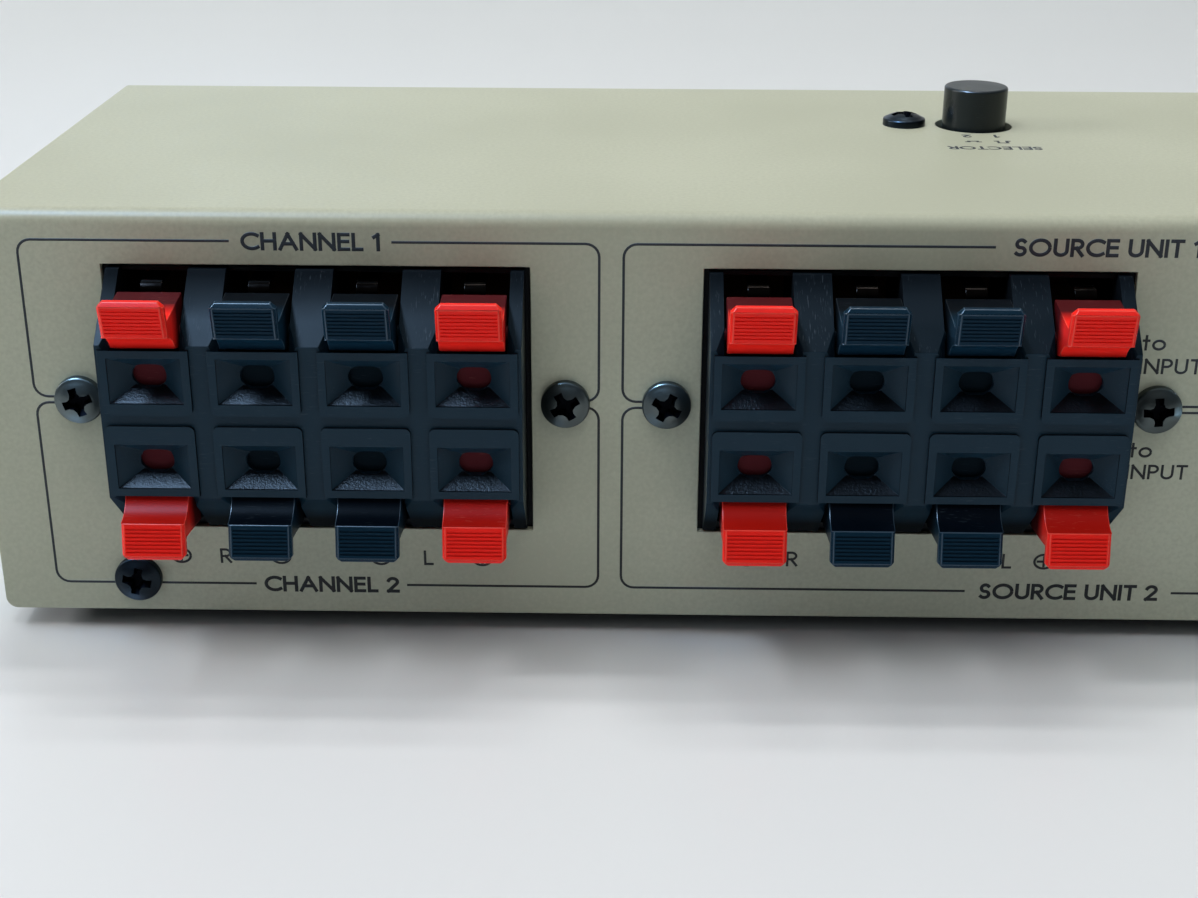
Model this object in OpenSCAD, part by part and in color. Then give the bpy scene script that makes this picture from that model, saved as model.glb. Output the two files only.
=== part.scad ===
// Amplifier and speaker selector box with two spring-clip terminal blocks and push buttons.
// X runs along the terminal face, Y from that face into the case, Z up from the table.

/* [Case] */
// Width of the case, end to end
case_w = 270; // [262:1:320]
// Depth of the case, terminal face to far face
case_d = 82.3; // [76:0.1:110]
// Height of the painted case
case_h = 56.4; // [54:0.1:72]
// Thickness of the case sheet
sheet_t = 1.2; // [0.8:0.1:1.5]
// Outside radius of the long top bends
bend_r = 2; // [1.7:0.1:4]
// Radius of the corners of the faces
corner_r = 1.6; // [1:0.1:3]
// Height of the case edge above the table
stand_h = 3; // [2.4:0.1:6]

/* [Base] */
// Thickness of the base sheet
base_t = 1.2; // [0.8:0.1:2]
// Underside of the base above the case edge
base_lift = 0.6; // [0:0.1:1]
// Gap between the base and each end of the case
base_gap = 0.4; // [0.1:0.1:1]
// Height of the base's upturned flanges above the case edge
base_flange_h = 9; // [8:0.1:10]
// Base screws, from the middle of the case
base_screw_x = 116.2; // [60:0.1:125]
// Base screws, above the case edge
base_screw_z = 5; // [4.6:0.1:6]

/* [Feet] */
// Diameter of a foot against the base
foot_d = 14; // [11:0.1:18]
// Diameter of a foot on the table
foot_tip_d = 12; // [10:0.1:17]
// Foot centre from the end of the case
foot_inset_x = 19; // [12:0.5:50]
// Foot centre from the terminal face and from the far face
foot_inset_y = 14; // [11:0.5:25]
// Radial gap round a screw's head in a foot
foot_head_gap = 0.4; // [0.2:0.1:0.8]
// Depth of the screw recess in a foot
foot_recess = 2.3; // [2.2:0.1:2.6]

/* [Screws] */
// Diameter of a screw's shank
screw_d = 2.9; // [2.4:0.1:3]
// Diameter of a screw's head
screw_head_d = 6.4; // [5:0.1:7]
// Height of a screw's head
screw_head_h = 2; // [1.4:0.1:2.1]
// Height of the straight rim of a screw's head
screw_rim_h = 1.2; // [0.4:0.1:1.4]
// Width of the cross recess in a screw's head
cross_w = 1.1; // [0.8:0.1:1.4]
// Length of the cross recess
cross_len = 3.7; // [2.6:0.1:4.2]
// Depth of the cross recess
cross_depth = 1.3; // [0.6:0.1:1.4]
// Length of a screw beyond the sheet or nut that it is tapped into
screw_stand = 2.5; // [1:0.1:3]
// Radial gap of a screw in a plain hole
screw_gap = 0.25; // [0.1:0.05:0.4]
// Radial gap drawn between a thread and its nut or tapped hole
thread_gap = 0.05; // [0.02:0.01:0.1]
// Width of a nut across its corners
nut_d = 6.2; // [5.5:0.1:7]
// Thickness of a nut
nut_t = 2.4; // [1.8:0.1:3]
// Radial room round a screw's head or nut in a moulded body
nut_room = 0.5; // [0.3:0.1:1]

/* [Terminal blocks] */
// Middle of the first block from the left end of the case
block_inset = 45.3; // [42:0.1:60]
// Distance between the middles of the two blocks
block_pitch = 76.9; // [75:0.1:90]
// Middle of the blocks above the case edge
block_z = 31; // [29.8:0.1:34]
// Width of the panel window
window_w = 54.8; // [54:0.1:57]
// Height of the panel window
window_h = 36.7; // [36:0.1:38]
// Gap above and below a body in its window
window_gap = 0.45; // [0.2:0.05:0.8]
// Gap at each side of a body in its window
window_side_gap = 0.7; // [0.2:0.05:0.9]
// Reach of the cells' front faces in front of the panel
face_reach = 9.2; // [8.6:0.1:10]
// Height from the lower to the upper edge of the cells
face_h = 19.8; // [19.4:0.1:20.4]
// Reach at which the sloped ribs begin
lip_reach = 0.5; // [0:0.1:1]
// Depth of the body behind the panel's outer face
body_in = 12; // [9:0.1:16]
// Width of the body's flange
flange_w = 72; // [71:0.1:74]
// Height of the body's flange
flange_h = 41; // [39:0.1:41.4]
// Thickness of the body's flange
flange_t = 2.2; // [1.6:0.1:3]
// Distance between a block's two screws
block_screw_span = 63.7; // [62.6:0.1:64]
// Thickness of the back plates
back_t = 1.5; // [1:0.1:2]
// Diameter of the stakes that hold a back plate
stake_d = 2.4; // [1.6:0.1:3]
// Radial gap round a stake
stake_gap = 0.1; // [0.05:0.05:0.2]
// Height of a stake behind its plate
stake_stand = 0.8; // [0.4:0.1:1.5]

/* [Wire clips] */
// Distance between neighbouring clips
col_pitch = 13.7; // [13.4:0.1:13.8]
// Width of a lever slot
slot_w = 8.8; // [8.6:0.1:9.2]
// Thickness of the wall above a slot
roof_t = 0.6; // [0.5:0.1:1.4]
// Set-back of that wall behind the panel's outer face
roof_back = 1; // [0:0.1:1.1]
// Thickness of the wall between the two rows
mid_t = 1.8; // [1.2:0.1:2.4]
// Thickness of the front wall
front_t = 3.1; // [2.8:0.1:3.4]
// Drop of the bevelled sill at the head of the front wall
sill_drop = 1; // [0.8:0.05:1.1]
// Width of a raised cell on the front face
cell_w = 11.4; // [11:0.1:12]
// Rise of a cell above the rails round it
cell_rise = 0.5; // [0.2:0.05:0.7]
// Corner radius of a raised cell
cell_r = 0.8; // [0.4:0.1:1.2]
// Height of the band between the two rows of cells
band_h = 1.5; // [1.2:0.1:2.4]
// Middle of that band above the middle of the block
band_z = 0.5; // [0:0.05:1]
// Length of the flare at the foot of a slot, along the slope
flare_len = 3.75; // [2:0.05:4.5]
// Depth of that flare at the slot's wall
flare_depth = 1.3; // [0.8:0.05:1.5]
// Width of a funnel's mouth
funnel_w = 9.3; // [8.6:0.1:10]
// Height of a funnel's mouth
funnel_h = 6.05; // [5.6:0.05:6.1]
// Middle of a funnel from the middle of the block
funnel_z = 5.8; // [5.6:0.05:5.9]
// Depth of the step round a funnel's mouth
funnel_step = 0.25; // [0.1:0.05:0.4]
// Width of a wire hole
throat_w = 4.4; // [3.8:0.1:4.8]
// Height of a wire hole
throat_h = 3.1; // [2.6:0.1:3.3]
// Length of a wire hole
throat_len = 0.5; // [0.3:0.1:0.8]
// Cut of a wire hole into the faces of its funnel
throat_bite = 0.3; // [0.1:0.05:0.4]

/* [Levers] */
// Side gap between a lever and its slot
lever_gap = 0.3; // [0.2:0.05:0.4]
// Length of the finger tab
tab_len = 4.8; // [4.4:0.1:5.4]
// Thickness of the finger tab
tab_t = 1.1; // [0.9:0.1:1.6]
// Outward lean of the finger tab, in degrees
tab_lean = 11.5; // [6:0.5:16]
// Reach of the tab's root in front of the face
tab_reach = 2.9; // [2.6:0.1:3.2]
// Rise of the tab's root above the face's edge
tab_rise = 2.6; // [2.4:0.1:2.9]
// Rise of the arm's upper side above the face's edge, at the tab
arm_rise_front = 4.7; // [4.4:0.1:5]
// Rise of the arm's upper side above the face's edge, at its rear
arm_rise_rear = 5.8; // [5:0.1:6]
// Chamfer along the tab's outer edge
tab_chamfer = 0.5; // [0.2:0.05:0.6]
// Chamfer along the tab's sides
tab_side = 0.4; // [0.2:0.05:0.5]
// Cut across the corners of the tab's outer edge
tab_corner = 0.7; // [0.3:0.05:1]
// Distance between neighbouring grip grooves
groove_pitch = 0.5; // [0.44:0.01:0.6]
// Width of a grip groove
groove_w = 0.22; // [0.15:0.01:0.3]
// Depth of a grip groove
groove_depth = 0.14; // [0.08:0.02:0.3]
// Plain border round the grooves
groove_border = 0.6; // [0.5:0.05:0.9]
// Lever pivot behind the front face
pivot_back = 4; // [3.8:0.1:4.4]
// Lever pivot above the face's edge
pivot_rise = 1.3; // [1.1:0.1:1.5]
// Radius of a lever's hub
hub_r = 2.2; // [2:0.1:2.4]
// Diameter of a lever's trunnions
trunnion_d = 2; // [1.6:0.1:2.1]
// Length of a lever's trunnions inside the ribs
trunnion_len = 1.3; // [0.9:0.1:1.4]
// Gap at the end of a trunnion
trunnion_end_gap = 0.05; // [0.02:0.01:0.1]
// Radial clearance of a trunnion in its bearing
bearing_gap = 0.05; // [0.02:0.01:0.08]
// Thickness of the clamping wing
wing_t = 1.2; // [0.9:0.1:1.3]
// Gap between the wing and the front wall
wing_gap = 0.3; // [0.2:0.05:0.4]
// Gap between the wing's foot and the wall between the rows
wing_foot_gap = 1.5; // [1.2:0.1:1.8]
// Gap between the lever's neck and the face's edge
neck_gap = 0.1; // [0.05:0.05:0.2]
// Rise of the neck's foot above the face's edge
neck_rise = 0.8; // [0.6:0.1:1]
// Set-back of the neck's foot from the face
neck_back = 0.2; // [0.1:0.05:0.3]
// Hollow of the neck between its foot and the tab
neck_hollow = 0.3; // [0.1:0.05:0.8]
// Ledge under the finger tab's root
tab_ledge = 0.4; // [0.2:0.05:0.6]

/* [Clip springs] */
// Thickness of the spring strip
strip_t = 0.4; // [0.3:0.05:0.5]
// Width of the spring strip
strip_w = 2.8; // [2.4:0.1:5]
// Bend radius of the spring strip
strip_r = 1.4; // [1:0.1:1.6]
// Spring strip below the slot's roof
strip_drop = 0.7; // [0.6:0.05:0.9]
// Length of a solder lug behind the back plate
lug_len = 5; // [3:0.5:8]
// Hole in a solder lug
lug_hole_d = 1.2; // [0.8:0.1:1.6]
// Gap round a strip in its back plate
strip_gap = 0.15; // [0.1:0.05:0.3]
// Gap between a strip and the lever's hub
strip_hub_gap = 0.4; // [0.3:0.05:0.6]
// Gap between a strip and the wing at rest
strip_rest_gap = 0.1; // [0.05:0.05:0.2]

/* [Push switches] */
// First button from the middle of the case
button_x = 2.7; // [0:0.1:10]
// Distance between the two buttons
button_pitch = 46; // [40:0.5:60]
// Buttons from the terminal face
button_y = 54; // [46:0.5:60]
// Diameter of a button cap
cap_d = 9.5; // [8.6:0.1:10.6]
// Height of a button cap
cap_h = 10.6; // [10:0.1:11]
// Height of a button cap above the case at rest
cap_stand = 6; // [5.4:0.1:6.4]
// Rounding of the cap's upper edge
cap_round = 0.4; // [0.2:0.1:1.5]
// Radial gap round a button cap in the case
cap_gap = 1; // [0.5:0.1:1.4]
// Travel of a button
travel = 3.5; // [2:0.1:4]
// Diameter of a plunger
plunger_d = 5; // [4:0.1:5.4]
// Radial clearance of a plunger in its switch
plunger_gap = 0.05; // [0.02:0.01:0.09]
// Depth of the plunger's seat in its cap
cap_seat = 6; // [4:0.1:7]
// Diameter of the plunger's collar
collar_d = 7.4; // [6.6:0.1:8]
// Thickness of the plunger's collar
collar_t = 1.5; // [1:0.1:2]
// Gap above the plunger's collar at rest
collar_gap = 0.1; // [0.05:0.05:0.2]
// Radial gap between a plunger's stem and its return spring
stem_gap = 0.4; // [0.2:0.1:0.6]
// Width of a switch body
switch_w = 14; // [12.5:0.1:18]
// Depth of a switch body
switch_d = 12; // [11:0.1:16]
// Height of a switch body
switch_h = 26; // [22:0.5:30]
// Thickness of a switch body's head
switch_head_t = 2; // [1.2:0.1:3]
// Radial gap round the collar in its chamber
chamber_gap = 0.4; // [0.2:0.1:0.6]
// Thickness of a switch's pin base
pin_base_t = 2; // [1.5:0.1:3]
// Length of the switch's solder pins
pin_len = 4; // [2:0.5:6]
// Width of the switch's solder pins
pin_w = 0.8; // [0.5:0.1:1.2]
// Distance between neighbouring solder pins
pin_pitch = 4; // [3:0.1:4.4]
// Wire diameter of a return spring
coil_wire_d = 0.7; // [0.5:0.05:0.9]
// Turns of a return spring
coil_turns = 7; // [5:1:9]
// Radial gap between a return spring and its chamber
coil_gap = 0.3; // [0.2:0.05:0.5]

/* [Switch bracket] */
// Thickness of the bracket sheet
bracket_t = 1.2; // [1:0.1:1.6]
// Depth of the bracket, along Y
bracket_d = 16; // [14:0.5:22]
// Drop of the bracket's shelf below the case top
bracket_drop = 9.5; // [9:0.1:12]
// Bracket screws outside the buttons
bracket_screw_x = 10.6; // [10:0.1:11.6]
// Ear of the bracket beyond its screw
bracket_ear = 4.5; // [4:0.1:7]
// Width of a switch body's fixing tab
switch_tab_w = 3; // [2:0.1:4]
// Thickness of a switch body's fixing tab
switch_tab_t = 1; // [0.6:0.1:1.4]
// Gap round a fixing tab in the bracket
switch_tab_gap = 0.1; // [0.05:0.05:0.2]

/* [Phono sockets] */
// First column of sockets from the middle of the second block
jack_x = 54.8; // [52.8:0.1:58]
// Distance between the socket columns of the first plate
jack_pitch_x = 16; // [14:0.5:17]
// Distance between the two socket rows
jack_pitch_z = 20; // [16:0.5:22]
// Column of the second plate from the middle of the room beside the first plate
jack_pair_x = -1.85; // [-6:0.05:4]
// Outside diameter of a socket sleeve
sleeve_d = 8.3; // [8.2:0.05:8.4]
// Inside diameter of a socket sleeve
sleeve_bore_d = 7; // [6.6:0.1:7.2]
// Length of a socket sleeve in front of the panel
sleeve_len = 9; // [8:0.1:10]
// Diameter of a socket's collar
sleeve_collar_d = 10.4; // [10:0.1:11]
// Collar's set-back from the panel's outer face
collar_sink = 0.2; // [0:0.05:0.4]
// Diameter of the sleeve's tail in the plate
tail_d = 6.6; // [6.2:0.1:6.8]
// Wall of the sleeve's tail
tail_wall = 0.55; // [0.4:0.05:0.7]
// Diameter of the peened rim behind the plate
peen_d = 8.4; // [7.6:0.1:9]
// Thickness of the peened rim
peen_t = 0.8; // [0.5:0.1:1.2]
// Radial gap between socket pieces
jack_gap = 0.05; // [0.02:0.01:0.1]
// Seat of a socket's insert in front of the panel
insert_seat = 0.4; // [0.2:0.1:1]
// Length of a socket's insert behind the peened rim
insert_tail = 1; // [0.5:0.1:2]
// Set-back of a centre contact from its insert's end
contact_sink = 0.3; // [0.1:0.1:0.6]
// Diameter of a socket's solder pin
jack_pin_d = 2; // [1.4:0.1:2.4]
// Set-back of a socket's insert from the sleeve's end
insert_sink = 0.8; // [0.4:0.1:1.5]
// Outside diameter of a centre contact
contact_d = 3.9; // [3.6:0.1:4.2]
// Bore of a centre contact
contact_bore_d = 3.3; // [3.2:0.05:3.4]
// Length of a centre contact's bore
contact_depth = 8.4; // [7:0.1:9]
// Length of the socket's solder pin behind the plate
jack_tail_len = 5; // [3:0.5:8]
// Radial gap round a socket's collar in the panel
panel_hole_gap = 0.8; // [0.4:0.1:1]
// Thickness of the socket plates
plate_t = 1.6; // [1.2:0.1:2.4]
// Height of the socket plates
plate_h = 34; // [32:0.5:35]
// Plate screws outside the sockets, first plate
plate_screw_x = 9; // [8.6:0.1:10.5]
// Plate screws outside the sockets, second plate
pair_screw_x = 11; // [9:0.1:14]
// Rim of the plates beyond their screws
plate_rim = 4.5; // [4:0.1:6]

/* [Hidden] */
$fn = 48;
cut = 1;
cream = [0.72, 0.72, 0.62];
coal = [0.09, 0.1, 0.11];
red = [0.75, 0.1, 0.08];
steel = [0.62, 0.63, 0.64];
bronze = [0.72, 0.55, 0.33];
phenolic = [0.5, 0.33, 0.18];
white = [0.85, 0.85, 0.82];

BLOCKS = [1, 2];
ROWS = ["top", "low"];
COLUMNS = [1, 2, 3, 4];
SWITCHES = [1, 2];

function clip_name(piece, block, row, col) = str(piece, "_", block, "_", row, "_", col);
function switch_name(piece, i) = str(piece, "_", i);
function clip_names(piece) = [
    for (block = BLOCKS, row = ROWS, col = COLUMNS) clip_name(piece, block, row, col)
];

// Terminal body: u is the reach in front of the panel, w the height from the block's middle
lip = face_h / 2;
body_w = window_w - 2 * window_side_gap;
body_h = window_h - 2 * window_gap;
slope_run = face_reach - lip_reach;
slope_rise = body_h / 2 - lip;
slope_angle = atan2(slope_rise, slope_run);
sill_w = lip - sill_drop;
wall_in_u = face_reach - front_t;
roof_w = body_h / 2 - roof_t;
rail_u = face_reach - cell_rise;
rail_w = lip + cell_rise * slope_rise / slope_run;
flare_w = (cell_w - slot_w) / 2;
funnel_end_u = wall_in_u + throat_len;
funnel_end_w = throat_w - 2 * throat_bite;
funnel_end_h = throat_h - 2 * throat_bite;

// Lever outline
lever_w = slot_w - 2 * lever_gap;
pivot_u = face_reach - pivot_back;
pivot_w = lip + pivot_rise;
tab_along = [sin(tab_lean), cos(tab_lean)];
tab_back = [-cos(tab_lean), sin(tab_lean)];
tab_root = [face_reach + tab_reach, lip + tab_rise];
tab_tip = tab_root + tab_len * tab_along;
tab_heel = tab_tip + tab_t * tab_back;
wing_front_u = wall_in_u - wing_gap;
wing_back_u = wing_front_u - wing_t;
wing_foot_w = mid_t / 2 + wing_foot_gap;
neck_foot = [face_reach - neck_back, lip + neck_rise];
neck_head = [tab_root.x - tab_ledge, tab_root.y - neck_gap];
neck_run = neck_head - neck_foot;
hub_low = hub_r * [-cos(40), -sin(40)];
tab_back_len = (tab_heel.y - lip - arm_rise_front) / tab_along.y;
lever_outline = concat(
    [[face_reach - neck_back - tab_ledge, lip + neck_gap]],
    [for (t = [0 : 0.2 : 1])
        neck_foot + t * neck_run + 4 * t * (1 - t) * neck_hollow * side(unit(neck_run))],
    [tab_root,
     tab_tip - tab_chamfer * tab_along,
     tab_tip + tab_chamfer * tab_back,
     tab_heel,
     tab_heel - tab_back_len * tab_along,
     [pivot_u - hub_r + neck_back, lip + arm_rise_rear],
     [pivot_u - hub_r, pivot_w],
     [pivot_u, pivot_w] + hub_low,
     [wing_back_u, pivot_w - hub_r],
     [wing_back_u, wing_foot_w],
     [wing_front_u, wing_foot_w],
     [wing_front_u, sill_w + wing_gap + neck_gap]]
);
groove_count = floor((tab_len - 2 * groove_border - tab_chamfer) / groove_pitch) + 1;

// Clip spring: centre line of the strip, from the solder lug to the wing
strip_w_level = roof_w - strip_drop;
strip_front_u = pivot_u - hub_r - strip_hub_gap - strip_t / 2;
strip_touch_u = wing_back_u - strip_rest_gap - strip_t / 2;
strip_rear_u = -body_in - back_t - lug_len;
strip_path = concat(
    [[strip_rear_u, strip_w_level]],
    [for (t = [0 : 15 : 90])
        [strip_front_u - strip_r + strip_r * sin(t),
         strip_w_level - strip_r + strip_r * cos(t)]],
    [[strip_front_u - strip_t / 2, pivot_w - strip_t],
     [strip_touch_u, wing_foot_w + strip_r + 2 * strip_t],
     [strip_touch_u - strip_r / 2, wing_foot_w + 2 * strip_t]]
);

// Places in the case
tip_reach = tab_tip.x;
face_y = (tip_reach - case_d - screw_head_h) / 2;
far_y = face_y + case_d;
edge_z = stand_h;
top_z = stand_h + case_h;
roof_z = top_z - sheet_t;
base_z = edge_z + base_lift;
block_1_x = block_inset - case_w / 2;
clear_d = screw_d + 2 * screw_gap;
tapped_d = screw_d + 2 * thread_gap;
base_screw_len = sheet_t + base_t + screw_stand;
block_screw_len = sheet_t + flange_t + nut_t + screw_stand;
foot_screw_len = base_z - foot_recess + base_t + screw_stand;
bracket_screw_len = sheet_t + bracket_t + screw_stand;
plate_screw_len = sheet_t + plate_t + screw_stand;
button_at_y = face_y + button_y;
shelf_z = roof_z - bracket_drop;
switch_top_z = shelf_z - bracket_t;
collar_top_z = switch_top_z - switch_head_t - collar_gap;
chamber_d = collar_d + 2 * chamber_gap;
chamber_floor_z = switch_top_z - switch_h;
cap_foot_z = top_z + cap_stand - cap_h;
cap_seat_z = cap_foot_z + cap_seat;
spring_foot_z = chamber_floor_z + coil_wire_d / 2;
spring_head_z = collar_top_z - collar_t - coil_wire_d / 2;
coil_r = chamber_d / 2 - coil_gap - coil_wire_d / 2;
stem_d = 2 * (coil_r - stem_gap) - coil_wire_d;
stem_len = (spring_head_z - spring_foot_z) / 2;
jack_z = edge_z + block_z;
jack_hole_d = sleeve_collar_d + 2 * panel_hole_gap;
plate_4_columns = [for (i = [0, 1]) block_x(2) + jack_x + i * jack_pitch_x];
plate_4_x = (plate_4_columns[0] + plate_4_columns[1]) / 2;
plate_4_screw_x = jack_pitch_x / 2 + plate_screw_x;
plate_4_end_x = plate_4_x + plate_4_screw_x + plate_rim;
plate_2_x = (plate_4_end_x + case_w / 2 - sheet_t) / 2 + jack_pair_x;
jack_columns = concat(plate_4_columns, [plate_2_x]);
plate_screws_x = [
    plate_4_x - plate_4_screw_x, plate_4_x + plate_4_screw_x,
    plate_2_x - pair_screw_x, plate_2_x + pair_screw_x
];
tail_bore_d = tail_d - 2 * tail_wall;
tail_rear_u = -sheet_t - plate_t - peen_t;
insert_rear_u = tail_rear_u - insert_tail;

function block_x(block) = block_1_x + (block - 1) * block_pitch;
function col_x(col) = (col - 2.5) * col_pitch;
function switch_x(i) = button_x + (i - 1) * button_pitch;
function is_low(row) = row == "low" ? 1 : 0;
function is_red(col) = col == 1 || col == 4;

// Points in reach and height to points in Y and Z
function in_section(points) = [for (p = points) [-p.x, p.y]];

// Left and right edges of a strip of even thickness along a path
function unit(v) = v / norm(v);
function side(v) = [-v.y, v.x];
function path_side(path, i) =
    let (
        before = i == 0 ? path[1] - path[0] : path[i] - path[i - 1],
        after = i == len(path) - 1 ? before : path[i + 1] - path[i],
        mitre = unit(side(unit(before)) + side(unit(after)))
    )
    mitre / (mitre * side(unit(before)));
function strip_edge(path, offset) = [
    for (i = [0 : len(path) - 1]) path[i] + offset * path_side(path, i)
];
function reversed(list) = [for (i = [len(list) - 1 : -1 : 0]) list[i]];

module along_x(length) {
    rotate([90, 0, 90])
        linear_extrude(length, center = true)
            children();
}

module drill_y(d, length) {
    rotate([-90, 0, 0])
        cylinder(d = d, h = length);
}

module at_block(block) {
    translate([block_x(block), face_y, edge_z + block_z])
        children();
}

module at_clip(block, row, col) {
    at_block(block)
        mirror([0, 0, is_low(row)])
            translate([col_x(col), 0, 0])
                children();
}

// Case outline seen from the end, set in by the sheet's thickness for the inside
module case_section(inset) {
    r = bend_r - inset;
    d = case_d - 2 * inset;
    h = case_h - inset;
    translate([face_y + inset, edge_z]) {
        translate([0, -inset])
            square([d, h - r + inset]);
        translate([r, -inset])
            square([d - 2 * r, h + inset]);
        for (y = [r, d - r])
            translate([y, h - r])
                circle(r);
    }
}

// Case outline seen from the terminal face
module case_front() {
    r = corner_r;
    translate([-case_w / 2, edge_z]) {
        translate([0, r])
            square([case_w, case_h - 2 * r]);
        translate([r, 0])
            square([case_w - 2 * r, case_h]);
        for (x = [r, case_w - r], z = [r, case_h - r])
            translate([x, z])
                circle(r);
    }
}

// Binding-head screw with its head above Z = 0
module binding_screw(length) {
    dome_h = screw_head_h - screw_rim_h;
    dome_r = (pow(screw_head_d / 2, 2) + pow(dome_h, 2)) / (2 * dome_h);
    difference() {
        union() {
            intersection() {
                translate([0, 0, screw_head_h - dome_r])
                    sphere(r = dome_r);
                cylinder(d = screw_head_d, h = screw_head_h);
            }
            translate([0, 0, -length])
                cylinder(d = screw_d, h = length + screw_rim_h / 2);
        }
        for (turn = [0, 90])
            rotate([0, 0, turn])
                translate([-cross_len / 2, -cross_w / 2, screw_head_h - cross_depth])
                    cube([cross_len, cross_w, cross_depth + cut]);
    }
}

module cover() {
    color(cream)
    difference() {
        intersection() {
            along_x(case_w)
                case_section(0);
            translate([0, far_y + cut, 0])
                rotate([90, 0, 0])
                    linear_extrude(case_d + 2 * cut)
                        case_front();
        }
        along_x(case_w - 2 * sheet_t)
            case_section(sheet_t);
        for (block = BLOCKS)
            at_block(block) {
                translate([-window_w / 2, -cut, -window_h / 2])
                    cube([window_w, sheet_t + 2 * cut, window_h]);
                for (x = [-1, 1])
                    translate([x * block_screw_span / 2, -cut, 0])
                        drill_y(clear_d, sheet_t + 2 * cut);
            }
        for (x = [-1, 1], y = [face_y - cut, far_y - sheet_t - cut])
            translate([x * base_screw_x, y, edge_z + base_screw_z])
                drill_y(clear_d, sheet_t + 2 * cut);
        for (x = plate_screws_x)
            translate([x, face_y - cut, jack_z])
                drill_y(clear_d, sheet_t + 2 * cut);
        for (x = jack_columns, z = [-1, 1])
            translate([x, face_y - cut, jack_z + z * jack_pitch_z / 2])
                drill_y(jack_hole_d, sheet_t + 2 * cut);
        for (i = SWITCHES)
            translate([switch_x(i), button_at_y, roof_z - cut])
                cylinder(d = cap_d + 2 * cap_gap, h = sheet_t + 2 * cut);
        for (x = [switch_x(1) - bracket_screw_x, switch_x(2) + bracket_screw_x])
            translate([x, button_at_y, roof_z - cut])
                cylinder(d = clear_d, h = sheet_t + 2 * cut);
    }
}

module base_plate() {
    w = case_w - 2 * (sheet_t + base_gap);
    d = case_d - 2 * sheet_t;
    color(coal)
    difference() {
        translate([-w / 2, face_y + sheet_t, base_z])
            difference() {
                cube([w, d, base_flange_h - base_lift]);
                translate([-cut, base_t, base_t])
                    cube([w + 2 * cut, d - 2 * base_t, base_flange_h]);
            }
        for (x = [-1, 1], y = [face_y, far_y - sheet_t - base_t - cut])
            translate([x * base_screw_x, y, edge_z + base_screw_z])
                drill_y(tapped_d, sheet_t + base_t + cut);
        at_feet()
            cylinder(d = tapped_d, h = base_z + base_t + cut);
    }
}

module at_feet() {
    for (x = [-1, 1], y = [face_y + foot_inset_y, far_y - foot_inset_y])
        translate([x * (case_w / 2 - foot_inset_x), y, 0])
            children();
}

module feet() {
    recess_r = screw_head_d / 2 + foot_head_gap;
    color(coal)
    at_feet()
        rotate_extrude()
            polygon([
                [recess_r, 0],
                [foot_tip_d / 2, 0],
                [foot_d / 2, base_z],
                [clear_d / 2, base_z],
                [clear_d / 2, foot_recess],
                [recess_r, foot_recess]
            ]);
}

module foot_screws() {
    color(steel)
    at_feet()
        translate([0, 0, foot_recess])
            rotate([180, 0, 0])
                binding_screw(foot_screw_len);
}

module base_screws() {
    color(coal)
    for (x = [-1, 1]) {
        translate([x * base_screw_x, face_y, edge_z + base_screw_z])
            rotate([90, 0, 0])
                binding_screw(base_screw_len);
        translate([x * base_screw_x, far_y, edge_z + base_screw_z])
            rotate([-90, 0, 0])
                binding_screw(base_screw_len);
    }
}

// Space of one clip inside its body, open to the back and through the slope
module clip_space() {
    along_x(slot_w)
        polygon(in_section([
            [-body_in - cut, mid_t / 2],
            [wall_in_u, mid_t / 2],
            [wall_in_u, sill_w],
            [face_reach - sill_drop, sill_w],
            [face_reach, lip],
            [face_reach + cut, lip],
            [face_reach + cut, body_h / 2 + cut],
            [-roof_back, body_h / 2 + cut],
            [-roof_back, roof_w],
            [-body_in - cut, roof_w]
        ]));
}

// Raised cell round a funnel, up to the slot
module cell(foot) {
    x = cell_w / 2 - cell_r;
    translate([0, cut - rail_u, 0])
        rotate([90, 0, 0])
            linear_extrude(cell_rise + cut) {
                translate([-cell_w / 2, foot + cell_r])
                    square([cell_w, lip - foot - cell_r]);
                translate([-x, foot])
                    square([2 * x, lip - foot]);
                for (side = [-1, 1])
                    translate([side * x, foot + cell_r])
                        circle(cell_r);
            }
}

// Funnel that narrows evenly in width and height to the wire hole
module funnel() {
    mouth_y = -face_reach + funnel_step;
    end_y = -funnel_end_u;
    translate([0, 0, funnel_z]) {
        translate([-funnel_w / 2, -face_reach - cut, -funnel_h / 2])
            cube([funnel_w, funnel_step + cut, funnel_h]);
        intersection() {
            translate([0, 0, -funnel_h / 2])
                linear_extrude(funnel_h)
                    polygon([
                        [-funnel_w / 2, mouth_y],
                        [funnel_w / 2, mouth_y],
                        [funnel_end_w / 2, end_y],
                        [-funnel_end_w / 2, end_y]
                    ]);
            along_x(funnel_w)
                polygon([
                    [mouth_y, -funnel_h / 2],
                    [mouth_y, funnel_h / 2],
                    [end_y, funnel_end_h / 2],
                    [end_y, -funnel_end_h / 2]
                ]);
        }
        for (x = [-1, 1])
            translate([x * (throat_w - throat_h) / 2, end_y - cut / 2, 0])
                drill_y(throat_h, throat_len + cut);
        translate([-(throat_w - throat_h) / 2, end_y - cut / 2, -throat_h / 2])
            cube([throat_w - throat_h, throat_len + cut, throat_h]);
    }
}

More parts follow.
